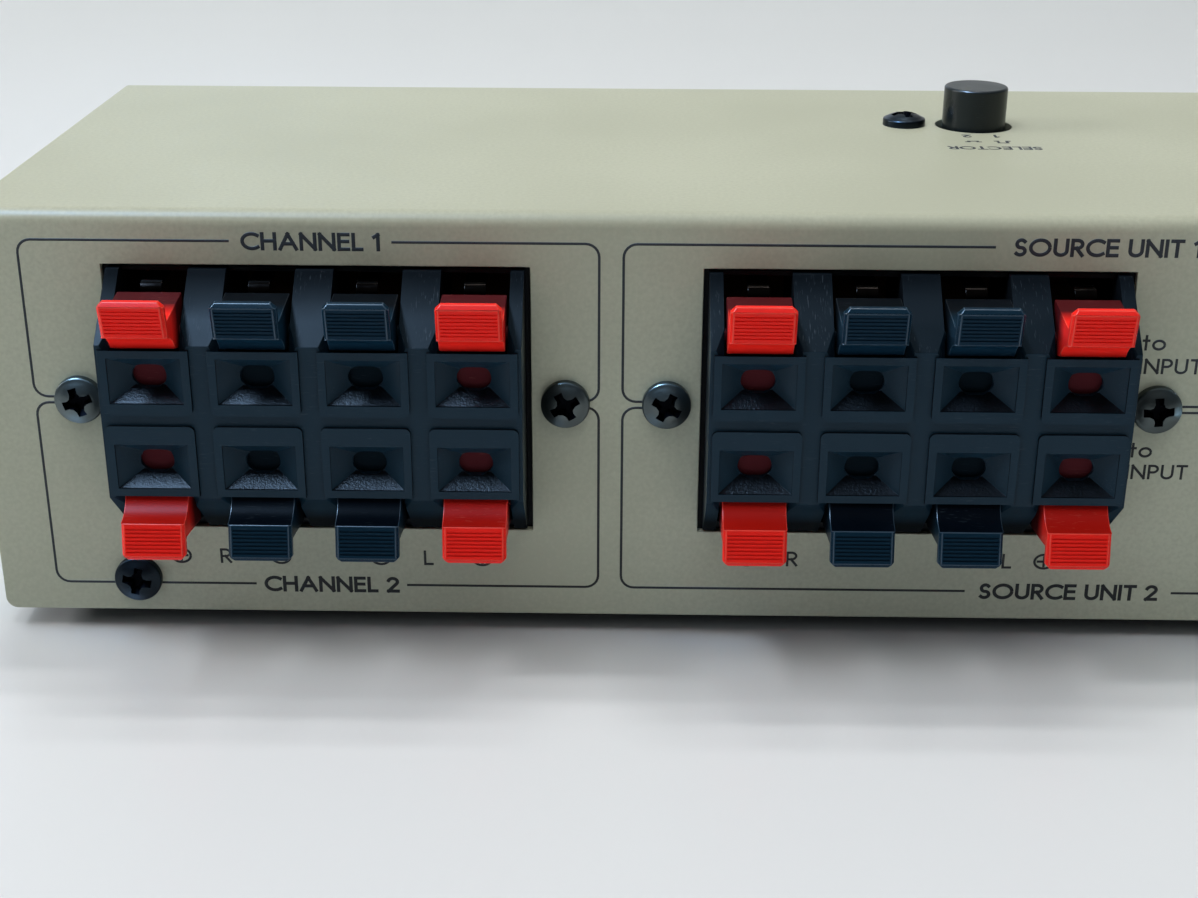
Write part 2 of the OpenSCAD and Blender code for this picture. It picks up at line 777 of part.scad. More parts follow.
// Bevels that widen a slot towards its cell
module slot_flare() {
    lean = atan2(flare_w, flare_len);
    tilt = atan2(flare_depth, flare_w * cos(lean));
    room = 2 * flare_len;
    translate([0, -face_reach, lip])
        rotate([slope_angle, 0, 0])
            for (side = [0, 1])
                mirror([side, 0, 0])
                    intersection() {
                        translate([slot_w / 2 - cut, 0, -flare_depth - cut])
                            cube([flare_w + cut, flare_len, flare_depth + 2 * cut]);
                        translate([cell_w / 2, 0, 0])
                            rotate([0, -tilt, lean])
                                translate([-room, -cut, 0])
                                    cube([room, room, room]);
                    }
}

module trunnion(d, length) {
    translate([0, -pivot_u, pivot_w])
        rotate([0, 90, 0])
            cylinder(d = d, h = length, center = true);
}

module terminal_body(block) {
    bearing_len = slot_w + 2 * (trunnion_len + trunnion_end_gap);
    color(coal)
    difference() {
        union() {
            at_block(block) {
                along_x(body_w)
                    polygon(in_section([
                        [rail_u, rail_w],
                        [lip_reach, body_h / 2],
                        [-body_in, body_h / 2],
                        [-body_in, -body_h / 2],
                        [lip_reach, -body_h / 2],
                        [rail_u, -rail_w]
                    ]));
                translate([-flange_w / 2, sheet_t, -flange_h / 2])
                    cube([flange_w, flange_t, flange_h]);
                for (x = [-1, 1])
                    translate([x * col_pitch, body_in - cut, 0])
                        drill_y(stake_d, cut + back_t + stake_stand);
            }
            for (row = ROWS, col = COLUMNS)
                at_clip(block, row, col)
                    cell(band_h / 2 + (row == "top" ? band_z : -band_z));
        }
        for (row = ROWS, col = COLUMNS)
            at_clip(block, row, col) {
                clip_space();
                funnel();
                slot_flare();
                trunnion(trunnion_d + 2 * bearing_gap, bearing_len);
            }
        at_block(block)
            for (x = [-1, 1])
                translate([x * block_screw_span / 2, 0, 0]) {
                    drill_y(clear_d, sheet_t + flange_t + cut);
                    translate([0, -face_reach - cut, 0])
                        drill_y(screw_head_d + 2 * nut_room, face_reach + cut);
                    translate([0, sheet_t + flange_t, 0])
                        drill_y(nut_d + 2 * nut_room, body_in);
                }
    }
}

module terminal_back(block) {
    slot = [strip_w + 2 * strip_gap, back_t + 2 * cut, strip_t + 2 * strip_gap];
    color(phenolic)
    difference() {
        at_block(block)
            translate([-body_w / 2, body_in, -body_h / 2])
                cube([body_w, back_t, body_h]);
        for (row = ROWS, col = COLUMNS)
            at_clip(block, row, col)
                translate([-slot.x / 2, body_in - cut, strip_w_level - slot.z / 2])
                    cube(slot);
        at_block(block)
            for (x = [-1, 1])
                translate([x * col_pitch, body_in - cut, 0])
                    drill_y(stake_d + 2 * stake_gap, back_t + 2 * cut);
    }
}

module at_block_screws() {
    for (block = BLOCKS, x = [-1, 1])
        at_block(block)
            translate([x * block_screw_span / 2, 0, 0])
                children();
}

module terminal_screws() {
    color(coal)
    at_block_screws()
        rotate([90, 0, 0])
            binding_screw(block_screw_len);
}

module terminal_nuts() {
    color(steel)
    at_block_screws()
        translate([0, sheet_t + flange_t, 0])
            difference() {
                rotate([-90, 0, 0])
                    cylinder(d = nut_d, h = nut_t, $fn = 6);
                translate([0, -cut, 0])
                    drill_y(tapped_d, nut_t + 2 * cut);
            }
}

module lever(block, row, col) {
    groove = [lever_w - 2 * groove_border, groove_w];
    side_cut = sqrt(2) * tab_side;
    corner_cut = sqrt(2) * tab_corner;
    color(is_red(col) ? red : coal)
    at_clip(block, row, col) {
        difference() {
            along_x(lever_w)
                polygon(in_section(lever_outline));
            translate([0, -tab_root.x, tab_root.y])
                rotate([tab_lean, 0, 0]) {
                    for (i = [0 : groove_count - 1])
                        translate([-groove.x / 2, -cut, groove_border + i * groove_pitch])
                            cube([groove.x, cut + groove_depth, groove.y]);
                    for (x = [-lever_w / 2, lever_w / 2]) {
                        translate([x, 0, tab_len / 2])
                            rotate([0, 0, 45])
                                cube([side_cut, side_cut, tab_len], center = true);
                        translate([x, 0, tab_len])
                            rotate([0, 45, 0])
                                cube([corner_cut, 4 * tab_t, corner_cut], center = true);
                    }
                }
        }
        trunnion(trunnion_d, slot_w + 2 * trunnion_len);
    }
}

module clip_spring(block, row, col) {
    edges = concat(strip_edge(strip_path, strip_t / 2), reversed(strip_edge(strip_path, -strip_t / 2)));
    color(bronze)
    at_clip(block, row, col)
        difference() {
            along_x(strip_w)
                polygon(in_section(edges));
            translate([0, -strip_rear_u - lug_len / 2, strip_w_level - cut])
                cylinder(d = lug_hole_d, h = 2 * cut);
        }
}

module at_switch(i) {
    translate([switch_x(i), button_at_y, 0])
        children();
}

module button_cap(i) {
    r = cap_d / 2;
    color(coal)
    at_switch(i)
        rotate_extrude()
            polygon(concat(
                [[plunger_d / 2, cap_foot_z], [r, cap_foot_z]],
                [for (t = [0 : 15 : 90])
                    [r - cap_round + cap_round * cos(t),
                     cap_foot_z + cap_h - cap_round + cap_round * sin(t)]],
                [[0, cap_foot_z + cap_h], [0, cap_seat_z], [plunger_d / 2, cap_seat_z]]
            ));
}

module plunger(i) {
    collar_foot_z = collar_top_z - collar_t;
    color(white)
    at_switch(i) {
        translate([0, 0, collar_foot_z])
            cylinder(d = plunger_d, h = cap_seat_z - collar_foot_z);
        translate([0, 0, collar_foot_z])
            cylinder(d = collar_d, h = collar_t);
        translate([0, 0, collar_foot_z - stem_len])
            cylinder(d = stem_d, h = stem_len + collar_t);
    }
}

// Round wire wound as one helix between two seats
module coil_spring(r, wire_d, foot_z, head_z, turns) {
    sides = 6;
    steps = 10 * turns;
    lean = atan2(head_z - foot_z, 360 * turns * PI * r / 180);
    points = [
        for (i = [0 : steps], s = [0 : sides - 1])
            let (
                turn = 360 * turns * i / steps,
                around = 360 * s / sides,
                out = wire_d / 2 * cos(around),
                up = wire_d / 2 * sin(around) * cos(lean),
                back = wire_d / 2 * sin(around) * sin(lean)
            )
            [(r + out) * cos(turn) + back * sin(turn),
             (r + out) * sin(turn) - back * cos(turn),
             foot_z + (head_z - foot_z) * i / steps + up]
    ];
    skin = [
        for (i = [0 : steps - 1], s = [0 : sides - 1])
            let (a = i * sides + s, b = i * sides + (s + 1) % sides)
            each [[a, a + sides, b + sides], [a, b + sides, b]]
    ];
    first_end = [for (s = [1 : sides - 2]) [0, s, s + 1]];
    last_end = [for (s = [1 : sides - 2]) [steps * sides, steps * sides + s + 1, steps * sides + s]];
    polyhedron(points, concat(skin, first_end, last_end));
}

module switch_spring(i) {
    color(steel)
    at_switch(i)
        coil_spring(coil_r, coil_wire_d, spring_foot_z, spring_head_z, coil_turns);
}

module at_switch_tabs() {
    for (x = [-1, 1])
        translate([x * (switch_w / 2 - switch_tab_t / 2), 0, switch_top_z])
            children();
}

module switch_body(i) {
    color(coal)
    at_switch(i)
        difference() {
            union() {
                translate([-switch_w / 2, -switch_d / 2, chamber_floor_z])
                    cube([switch_w, switch_d, switch_h]);
                at_switch_tabs()
                    translate([-switch_tab_t / 2, -switch_tab_w / 2, -cut])
                        cube([switch_tab_t, switch_tab_w, cut + bracket_t]);
            }
            translate([0, 0, chamber_floor_z - cut])
                cylinder(d = chamber_d, h = switch_h - switch_head_t + cut);
            translate([0, 0, switch_top_z - switch_head_t - cut])
                cylinder(d = plunger_d + 2 * plunger_gap, h = switch_head_t + 2 * cut);
        }
}

module switch_pin_bases() {
    color(phenolic)
    for (i = SWITCHES)
        at_switch(i) {
            translate([-switch_w / 2, -switch_d / 2, chamber_floor_z - pin_base_t])
                cube([switch_w, switch_d, pin_base_t]);
            for (x = [-1 : 1], y = [-1, 1])
                translate([x * pin_pitch, y * pin_pitch, chamber_floor_z - pin_base_t - pin_len])
                    translate([-pin_w / 2, -pin_w / 2, 0])
                        cube([pin_w, pin_w, pin_len + pin_base_t / 2]);
        }
}

module switch_bracket() {
    screw_left = switch_x(1) - bracket_screw_x;
    screw_right = switch_x(2) + bracket_screw_x;
    leg_left = screw_left + screw_head_d / 2;
    leg_right = screw_right - screw_head_d / 2;
    tab_slot = [switch_tab_t + 2 * switch_tab_gap, switch_tab_w + 2 * switch_tab_gap];
    color(steel)
    difference() {
        translate([0, button_at_y + bracket_d / 2, 0])
            rotate([90, 0, 0])
                linear_extrude(bracket_d)
                    polygon([
                        [screw_left - bracket_ear, roof_z],
                        [leg_left, roof_z],
                        [leg_left, shelf_z],
                        [leg_right, shelf_z],
                        [leg_right, roof_z],
                        [screw_right + bracket_ear, roof_z],
                        [screw_right + bracket_ear, roof_z - bracket_t],
                        [leg_right + bracket_t, roof_z - bracket_t],
                        [leg_right + bracket_t, switch_top_z],
                        [leg_left - bracket_t, switch_top_z],
                        [leg_left - bracket_t, roof_z - bracket_t],
                        [screw_left - bracket_ear, roof_z - bracket_t]
                    ]);
        for (x = [screw_left, screw_right])
            translate([x, button_at_y, roof_z - bracket_t - cut])
                cylinder(d = tapped_d, h = bracket_t + 2 * cut);
        for (i = SWITCHES)
            at_switch(i) {
                translate([0, 0, switch_top_z - cut])
                    cylinder(d = plunger_d + 2 * cap_gap, h = bracket_t + 2 * cut);
                at_switch_tabs()
                    translate([-tab_slot.x / 2, -tab_slot.y / 2, -cut])
                        cube([tab_slot.x, tab_slot.y, bracket_t + 2 * cut]);
            }
    }
}

module top_screws() {
    color(coal)
    for (x = [switch_x(1) - bracket_screw_x, switch_x(2) + bracket_screw_x])
        translate([x, button_at_y, top_z])
            binding_screw(bracket_screw_len);
}

module at_jacks(columns, rows = [-1, 1]) {
    for (x = columns, z = rows)
        translate([x, face_y, jack_z + z * jack_pitch_z / 2])
            rotate([90, 0, 0])
                children();
}

module jack_plate(x, screw_x, columns) {
    w = 2 * (screw_x + plate_rim);
    color(phenolic)
    difference() {
        translate([x - w / 2, face_y + sheet_t, jack_z - plate_h / 2])
            cube([w, plate_t, plate_h]);
        at_jacks(columns)
            translate([0, 0, -sheet_t - plate_t - cut])
                cylinder(d = tail_d + 2 * jack_gap, h = plate_t + 2 * cut);
        for (side = [-1, 1])
            translate([x + side * screw_x, face_y, jack_z])
                drill_y(tapped_d, sheet_t + plate_t + cut);
    }
}

module jack_plates() {
    jack_plate(plate_4_x, plate_4_screw_x, plate_4_columns);
    jack_plate(plate_2_x, pair_screw_x, [plate_2_x]);
}

module jack_sleeves() {
    color(steel)
    at_jacks(jack_columns)
        rotate_extrude()
            polygon([
                [tail_bore_d / 2, tail_rear_u],
                [peen_d / 2, tail_rear_u],
                [peen_d / 2, -sheet_t - plate_t],
                [tail_d / 2, -sheet_t - plate_t],
                [tail_d / 2, -sheet_t],
                [sleeve_collar_d / 2, -sheet_t],
                [sleeve_collar_d / 2, -collar_sink],
                [sleeve_d / 2, -collar_sink],
                [sleeve_d / 2, sleeve_len],
                [sleeve_bore_d / 2, sleeve_len],
                [sleeve_bore_d / 2, insert_seat],
                [tail_bore_d / 2, insert_seat]
            ]);
}

module jack_insert() {
    bore_r = contact_d / 2 + jack_gap;
    rotate_extrude()
        polygon([
            [bore_r, insert_rear_u],
            [tail_bore_d / 2 - jack_gap, insert_rear_u],
            [tail_bore_d / 2 - jack_gap, insert_seat],
            [sleeve_bore_d / 2 - jack_gap, insert_seat],
            [sleeve_bore_d / 2 - jack_gap, sleeve_len - insert_sink],
            [bore_r, sleeve_len - insert_sink]
        ]);
}

module jack_inserts_red() {
    color(red)
    at_jacks(jack_columns, [-1])
        jack_insert();
}

module jack_inserts_white() {
    color(white)
    at_jacks(jack_columns, [1])
        jack_insert();
}

module jack_contacts() {
    mouth_u = sleeve_len - insert_sink - contact_sink;
    pin_r = jack_pin_d / 2;
    color(steel)
    at_jacks(jack_columns)
        rotate_extrude()
            polygon([
                [0, tail_rear_u - jack_tail_len],
                [pin_r, tail_rear_u - jack_tail_len],
                [pin_r, insert_rear_u],
                [contact_d / 2, insert_rear_u],
                [contact_d / 2, mouth_u],
                [contact_bore_d / 2, mouth_u],
                [contact_bore_d / 2, mouth_u - contact_depth],
                [0, mouth_u - contact_depth]
            ]);
}

module jack_screws() {
    color(coal)
    for (x = plate_screws_x)
        translate([x, face_y, jack_z])
            rotate([90, 0, 0])
                binding_screw(plate_screw_len);
}

cover();
base_plate();
feet();
foot_screws();
base_screws();
for (block = BLOCKS) {
    terminal_body(block);
    terminal_back(block);
}
terminal_screws();
terminal_nuts();
for (block = BLOCKS, row = ROWS, col = COLUMNS) {
    lever(block, row, col);
    clip_spring(block, row, col);
}
for (i = SWITCHES) {
    button_cap(i);
    plunger(i);
    switch_spring(i);
    switch_body(i);
}
switch_pin_bases();
switch_bracket();
top_screws();
jack_plates();
jack_sleeves();
jack_inserts_red();
jack_inserts_white();
jack_contacts();
jack_screws();
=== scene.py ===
import math

import bmesh
import bpy
from mathutils import Matrix, Vector


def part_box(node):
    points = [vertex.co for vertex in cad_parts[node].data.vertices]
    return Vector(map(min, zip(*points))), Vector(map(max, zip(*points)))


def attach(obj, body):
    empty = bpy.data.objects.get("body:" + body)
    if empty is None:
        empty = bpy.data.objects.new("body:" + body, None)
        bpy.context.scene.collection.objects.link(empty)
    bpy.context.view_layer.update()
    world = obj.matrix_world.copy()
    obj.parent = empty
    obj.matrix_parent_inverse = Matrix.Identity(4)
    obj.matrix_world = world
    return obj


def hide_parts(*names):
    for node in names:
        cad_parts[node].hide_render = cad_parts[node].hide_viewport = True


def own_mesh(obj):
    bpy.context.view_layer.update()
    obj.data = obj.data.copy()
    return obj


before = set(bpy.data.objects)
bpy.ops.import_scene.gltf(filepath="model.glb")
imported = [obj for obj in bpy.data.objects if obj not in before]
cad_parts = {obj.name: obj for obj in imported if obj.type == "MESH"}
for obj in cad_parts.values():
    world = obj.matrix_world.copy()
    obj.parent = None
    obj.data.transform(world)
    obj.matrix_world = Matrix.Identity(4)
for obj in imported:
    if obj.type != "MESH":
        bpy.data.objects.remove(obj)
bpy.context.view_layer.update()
mm = 0.001

coverLow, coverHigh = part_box("cover")
faceY = coverLow.y  # outer side of the terminal face
topZ = coverHigh.z  # outer side of the top
edgeZ = coverLow.z  # lower edge of the painted case
blockZ = sum(corner.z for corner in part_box("terminal_body_1")) / 2  # middle of the terminal blocks
clipRows = [(block, row, col) for block in (1, 2) for row in ("top", "low") for col in (1, 2, 3, 4)]
print("stage: frame loaded,", len(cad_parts), "nodes")


# Small tools

def srgb(hexColour):
    channels = [int(hexColour[i:i + 2], 16) / 255 for i in (1, 3, 5)]
    linear = [c / 12.92 if c <= 0.04045 else ((c + 0.055) / 1.055) ** 2.4 for c in channels]
    return (*linear, 1.0)


def addNode(tree, kind, inputs=None, **settings):
    node = tree.nodes.new(kind)
    for name, value in settings.items():
        setattr(node, name, value)
    for key, value in (inputs or {}).items():
        if isinstance(value, bpy.types.NodeSocket):
            tree.links.new(value, node.inputs[key])
        else:
            node.inputs[key].default_value = value
    return node


def startMaterial(name, **principled):
    material = bpy.data.materials.new(name)
    material.use_nodes = True
    tree = material.node_tree
    tree.nodes.clear()
    shader = addNode(tree, "ShaderNodeBsdfPrincipled", principled)
    addNode(tree, "ShaderNodeOutputMaterial", {"Surface": shader.outputs["BSDF"]})
    where = addNode(tree, "ShaderNodeTexCoord").outputs["Object"]
    return material, tree, shader, where


def perMetre(sizeMm):
    return 1 / (sizeMm * mm)


def newObject(name, mesh):
    piece = bpy.data.objects.new(name, mesh)
    bpy.context.scene.collection.objects.link(piece)
    return piece


def plainMesh(piece):
    bpy.context.view_layer.update()
    evaluated = piece.evaluated_get(bpy.context.evaluated_depsgraph_get())
    mesh = bpy.data.meshes.new_from_object(evaluated)
    piece.modifiers.clear()
    return mesh


# Camera, where the photograph was taken from
cameraLook = {
    "place": (-50.09, -254.75, 117.86),  # mm
    "pitchDown": 22.402,  # degrees
    "turn": 0.876,
    "roll": 0.226,
    "focalPixels": 1794.0,
    "imageWidth": 1198,
    "sensor": 36.0,
    "nearClip": 0.01,  # metres
}


def makeCamera(look):
    data = bpy.data.cameras.new("camera")
    data.sensor_width = look["sensor"]
    data.lens = look["sensor"] * look["focalPixels"] / look["imageWidth"]
    data.clip_start = look["nearClip"]
    camera = bpy.data.objects.new("camera", data)
    bpy.context.scene.collection.objects.link(camera)
    turn = Matrix.Rotation(math.radians(look["turn"]), 4, "Z")
    tilt = Matrix.Rotation(math.radians(90 - look["pitchDown"]), 4, "X")
    roll = Matrix.Rotation(math.radians(look["roll"]), 4, "Z")
    camera.matrix_world = Matrix.Translation(Vector(look["place"]) * mm) @ turn @ tilt @ roll
    bpy.context.scene.camera = camera


makeCamera(cameraLook)
print("stage: camera")


# Sizes of patterns and their lifts are in mm in every look below

# Baked enamel on sheet steel: sprayed, so it is even in colour with a fine pebbled skin and a soft sheen
creamLook = {
    "colour": "#bfc1ab", "fleck": "#b4b6a0", "fleckRange": (0.15, 0.36), "pebble": 0.55, "pebbleDetail": 3.0,
    "pebbleRough": 0.55, "cloud": 45.0, "cloudDetail": 2.0, "lift": 0.012, "gloss": 0.15, "roughness": 0.42,
    "sheenSpread": (-0.06, 0.08),
}


def bakedEnamel(name, look):
    material, tree, shader, where = startMaterial(name, **{"Specular IOR Level": look["gloss"]})
    pebble = addNode(tree, "ShaderNodeTexNoise", {
        "Vector": where, "Scale": perMetre(look["pebble"]),
        "Detail": look["pebbleDetail"], "Roughness": look["pebbleRough"],
    })
    cloud = addNode(tree, "ShaderNodeTexNoise", {
        "Vector": where, "Scale": perMetre(look["cloud"]), "Detail": look["cloudDetail"],
    })
    blend = addNode(tree, "ShaderNodeMath", {
        0: pebble.outputs["Fac"], 1: cloud.outputs["Fac"],
    }, operation="MULTIPLY")
    fleckFrom, fleckTo = look["fleckRange"]
    spread = addNode(tree, "ShaderNodeMapRange", {
        "Value": blend.outputs[0], "From Min": fleckFrom, "From Max": fleckTo,
    })
    colour = addNode(tree, "ShaderNodeMix", {
        "Factor": spread.outputs["Result"], "A": srgb(look["fleck"]), "B": srgb(look["colour"]),
    }, data_type="RGBA")
    smoothest, roughest = (look["roughness"] + change for change in look["sheenSpread"])
    sheen = addNode(tree, "ShaderNodeMapRange", {
        "Value": pebble.outputs["Fac"], "To Min": smoothest, "To Max": roughest,
    })
    bump = addNode(tree, "ShaderNodeBump", {"Height": pebble.outputs["Fac"], "Distance": look["lift"] * mm})
    tree.links.new(colour.outputs["Result"], shader.inputs["Base Color"])
    tree.links.new(sheen.outputs["Result"], shader.inputs["Roughness"])
    tree.links.new(bump.outputs["Normal"], shader.inputs["Normal"])
    return material


creamEnamel = bakedEnamel("bakedCreamEnamel", creamLook)
# The base's black enamel, which faces the shaded table
blackEnamel = bakedEnamel("bakedBlackEnamel", {
    **creamLook, "colour": "#02050a", "fleck": "#020408", "gloss": 0.03, "roughness": 0.65,
})


# Injection-moulded ABS: semi-gloss with a faint grain from the tool, rubbed brighter in fine lines by wires
# and fingers, painted darker deep inside the clips as painted shade, and duller there, where dust settles
def mouldedAbs(name, look):
    material, tree, shader, where = startMaterial(name, **{"Specular IOR Level": look["gloss"]})
    grain = addNode(tree, "ShaderNodeTexNoise", {
        "Vector": where, "Scale": perMetre(look["grain"]),
        "Detail": look["grainDetail"], "Roughness": look["grainRough"],
    })
    cloud = addNode(tree, "ShaderNodeTexNoise", {
        "Vector": where, "Scale": perMetre(look["cloud"]), "Detail": look["cloudDetail"],
    })
    stretched = addNode(tree, "ShaderNodeMapping", {
        "Vector": where, "Scale": look["scratchStretch"], "Rotation": look["scratchTurn"],
    })
    scratch = addNode(tree, "ShaderNodeTexNoise", {
        "Vector": stretched.outputs["Vector"], "Scale": perMetre(look["scratch"]),
        "Detail": look["scratchDetail"],
    })
    lineFrom, lineTo = look["scratchRange"]
    lines = addNode(tree, "ShaderNodeMapRange", {
        "Value": scratch.outputs["Fac"], "From Min": lineFrom, "From Max": lineTo,
        "To Max": look["scratchAmount"],
    })
    patchFrom, patchTo = look["patchRange"]
    patch = addNode(tree, "ShaderNodeMapRange", {
        "Value": cloud.outputs["Fac"], "From Min": patchFrom, "From Max": patchTo,
    })
    rub = addNode(tree, "ShaderNodeMath", {
        0: lines.outputs["Result"], 1: patch.outputs["Result"],
    }, operation="MULTIPLY")
    # Painted shade: the colour turns to the deep colour deep inside the clips
    depth = addNode(tree, "ShaderNodeSeparateXYZ", {"Vector": where})
    inside = addNode(tree, "ShaderNodeMapRange", {
        "Value": depth.outputs["Y"], "From Min": faceY - look["deepShadeFrom"] * mm,
        "From Max": faceY - look["deepShadeTo"] * mm,
    })
    plain = addNode(tree, "ShaderNodeMix", {
        "Factor": inside.outputs["Result"], "A": srgb(look["colour"]), "B": srgb(look["deepShade"]),
    }, data_type="RGBA")
    colour = addNode(tree, "ShaderNodeMix", {
        "Factor": rub.outputs[0], "A": plain.outputs["Result"], "B": srgb(look["rubbed"]),
    }, data_type="RGBA")
    smoothest, roughest = (look["roughness"] + change for change in look["sheenSpread"])
    sheen = addNode(tree, "ShaderNodeMapRange", {
        "Value": cloud.outputs["Fac"], "To Min": smoothest, "To Max": roughest,
    })
    dusty = addNode(tree, "ShaderNodeMath", {
        0: inside.outputs["Result"], 1: look["dust"], 2: sheen.outputs["Result"],
    }, operation="MULTIPLY_ADD")
    height = addNode(tree, "ShaderNodeMath", {0: grain.outputs["Fac"], 1: rub.outputs[0]}, operation="ADD")
    bump = addNode(tree, "ShaderNodeBump", {"Height": height.outputs[0], "Distance": look["lift"] * mm})
    tree.links.new(colour.outputs["Result"], shader.inputs["Base Color"])
    tree.links.new(dusty.outputs[0], shader.inputs["Roughness"])
    tree.links.new(bump.outputs["Normal"], shader.inputs["Normal"])
    return material


# Real grain and scratches are a few hundredths of a mm wide; they are drawn as coarse as they need to show
# The deep colour is painted shade; its two reaches, in mm in front of the panel, are where the colour turns
# to it
blackLook = {
    "colour": "#182f3d", "deepShade": "#04090f", "deepShadeFrom": 6.0, "deepShadeTo": 3.0, "rubbed": "#5f6c78",
    "grain": 0.18, "grainDetail": 3.0, "grainRough": 0.6, "cloud": 7.0, "cloudDetail": 3.0,
    "scratch": 0.16, "scratchDetail": 2.0, "scratchStretch": (0.1, 1.0, 1.0), "scratchTurn": (0.3, 0.2, 0.4),
    "scratchRange": (0.62, 0.72), "scratchAmount": 0.15, "patchRange": (0.45, 0.62),
    "gloss": 0.15, "roughness": 0.36, "sheenSpread": (-0.08, 0.1), "dust": 0.1, "lift": 0.005,
}
blackAbs = mouldedAbs("mouldedBlackAbs", blackLook)
# Slopes of the ribs, polished by fingers towards their foot, and painted darker behind the levers as painted
# shade
rubbedAbs = mouldedAbs("mouldedBlackAbsRubbed", {
    **blackLook, "colour": "#061822", "deepShade": "#03080d", "deepShadeFrom": 6.0, "deepShadeTo": 1.0, "roughness": 0.42,
    "scratchStretch": (1.0, 0.12, 0.12), "scratchAmount": 0.3, "gloss": 0.06, "dust": 0.45, "lift": 0.01,
})
# Undersides, which face the shaded table
underAbs = mouldedAbs("mouldedBlackAbsUnderside", {**blackLook, "gloss": 0.03, "roughness": 0.5})
# Walls of the low steps round cells and funnels, painted dark as the shade there, where light hardly gets in
stepShadeAbs = mouldedAbs("mouldedBlackAbsStepShade", {
    **blackLook, "colour": "#03080d", "gloss": 0.04, "roughness": 0.6,
})
# Red levers turn to a painted shade colour behind their tabs
redLook = {
    **blackLook, "colour": "#ff261c", "deepShade": "#4a060a", "deepShadeFrom": 9.5, "deepShadeTo": 6.5, "rubbed": "#f08a7c",
    "gloss": 0.12, "roughness": 0.32, "lift": 0.004,
}
redAbs = mouldedAbs("mouldedRedAbs", redLook)
# Levers have their rounded edges paler, partly as wear and partly as painted highlight, their inside faces
# dusty and with less sheen as painted shade, and the necks of the lower ones painted dark as the block's
# shade
redAbsEdgeWearAndHighlight = mouldedAbs("mouldedRedAbsEdgeWearAndHighlight", {**redLook, "colour": "#fc4c3e"})
redAbsInsideDustAndShade = mouldedAbs("mouldedRedAbsInsideDustAndShade", {**redLook, "deepShade": "#5f242a", "gloss": 0.03})
redAbsNeckShade = mouldedAbs("mouldedRedAbsNeckShade", {**redLook, "colour": "#ba190f", "gloss": 0.03})
# Black levers turn to the same painted shade behind their tabs
leverLook = {
    **blackLook, "colour": "#0c2839", "deepShadeFrom": 9.5, "deepShadeTo": 6.5, "gloss": 0.06, "roughness": 0.3,
}
leverAbs = mouldedAbs("mouldedLeverAbs", leverLook)
# Paler edges as wear and painted highlight, inside faces with painted shade, necks painted dark as shade
leverAbsEdgeWearAndHighlight = mouldedAbs("mouldedLeverAbsEdgeWearAndHighlight", {**leverLook, "colour": "#2a4254", "gloss": 0.4})
leverAbsInsideDustAndShade = mouldedAbs("mouldedLeverAbsInsideDustAndShade", {**leverLook, "deepShade": "#0a1a23", "gloss": 0.03})
leverAbsNeckShade = mouldedAbs("mouldedLeverAbsNeckShade", {**leverLook, "colour": "#040c16", "gloss": 0.015})


# Mouldings away from the clips have one colour all through
def evenLook(colour, **changes):
    return {**blackLook, "colour": colour, "deepShade": colour, "deepShadeFrom": 0.0, "deepShadeTo": -1000.0, **changes}


buttonAbs = mouldedAbs("mouldedButtonAbs", evenLook("#0f191c", gloss=0.4, scratchAmount=0.08, roughness=0.28))
phenolicBody = mouldedAbs("mouldedPhenolic", evenLook("#1a1b1c", roughness=0.55))
footRubber = mouldedAbs("mouldedRubber", evenLook("#161616", rubbed="#2b2b2b", roughness=0.75))
paleLook = {"scratchAmount": 0.2, "gloss": 0.4, "roughness": 0.42}
socketRed = mouldedAbs("mouldedSocketRed", evenLook("#b3201c", rubbed="#d86a60", **paleLook))
socketWhite = mouldedAbs("mouldedSocketWhite", evenLook("#d9d8d0", rubbed="#c4c2b8", **paleLook))
nylon = mouldedAbs("mouldedNylon", evenLook("#d8d7cc", rubbed="#c4c2b8", **paleLook))


# Spark-eroded ABS: a coarse grain that the tool leaves, rubbed pale on its high spots by wire ends; it is
# about 0.1 mm, and is drawn as coarse as it needs to show
funnelLook = {
    "colour": "#02050a", "worn": "#0a111a", "wornRange": (0.9, 1.16), "grain": 0.35, "grainDetail": 3.0,
    "grainRough": 0.7, "cloud": 3.0, "cloudDetail": 2.0, "gloss": 0.12, "roughness": 0.33, "lift": 0.07,
}


def grainedAbs(name, look):
    material, tree, shader, where = startMaterial(
        name, Roughness=look["roughness"], **{"Specular IOR Level": look["gloss"]})
    grain = addNode(tree, "ShaderNodeTexNoise", {
        "Vector": where, "Scale": perMetre(look["grain"]),
        "Detail": look["grainDetail"], "Roughness": look["grainRough"],
    })
    cloud = addNode(tree, "ShaderNodeTexNoise", {
        "Vector": where, "Scale": perMetre(look["cloud"]), "Detail": look["cloudDetail"],
    })
    high = addNode(tree, "ShaderNodeMath", {
        0: grain.outputs["Fac"], 1: cloud.outputs["Fac"],
    }, operation="ADD")
    wornFrom, wornTo = look["wornRange"]
    spots = addNode(tree, "ShaderNodeMapRange", {
        "Value": high.outputs[0], "From Min": wornFrom, "From Max": wornTo,
    })
    colour = addNode(tree, "ShaderNodeMix", {
        "Factor": spots.outputs["Result"], "A": srgb(look["colour"]), "B": srgb(look["worn"]),
    }, data_type="RGBA")
    bump = addNode(tree, "ShaderNodeBump", {"Height": grain.outputs["Fac"], "Distance": look["lift"] * mm})
    tree.links.new(colour.outputs["Result"], shader.inputs["Base Color"])
    tree.links.new(bump.outputs["Normal"], shader.inputs["Normal"])
    return material


funnelAbs = grainedAbs("sparkErodedBlackAbs", funnelLook)


# Laminated paper board: brown resin with fibres that run along the sheet
boardLook = {
    "dark": "#6b4424", "light": "#8f6236", "fibre": 0.6, "fibreDetail": 4.0, "stretch": (0.1, 1.0, 1.0),
    "roughness": 0.55, "lift": 0.01,
}


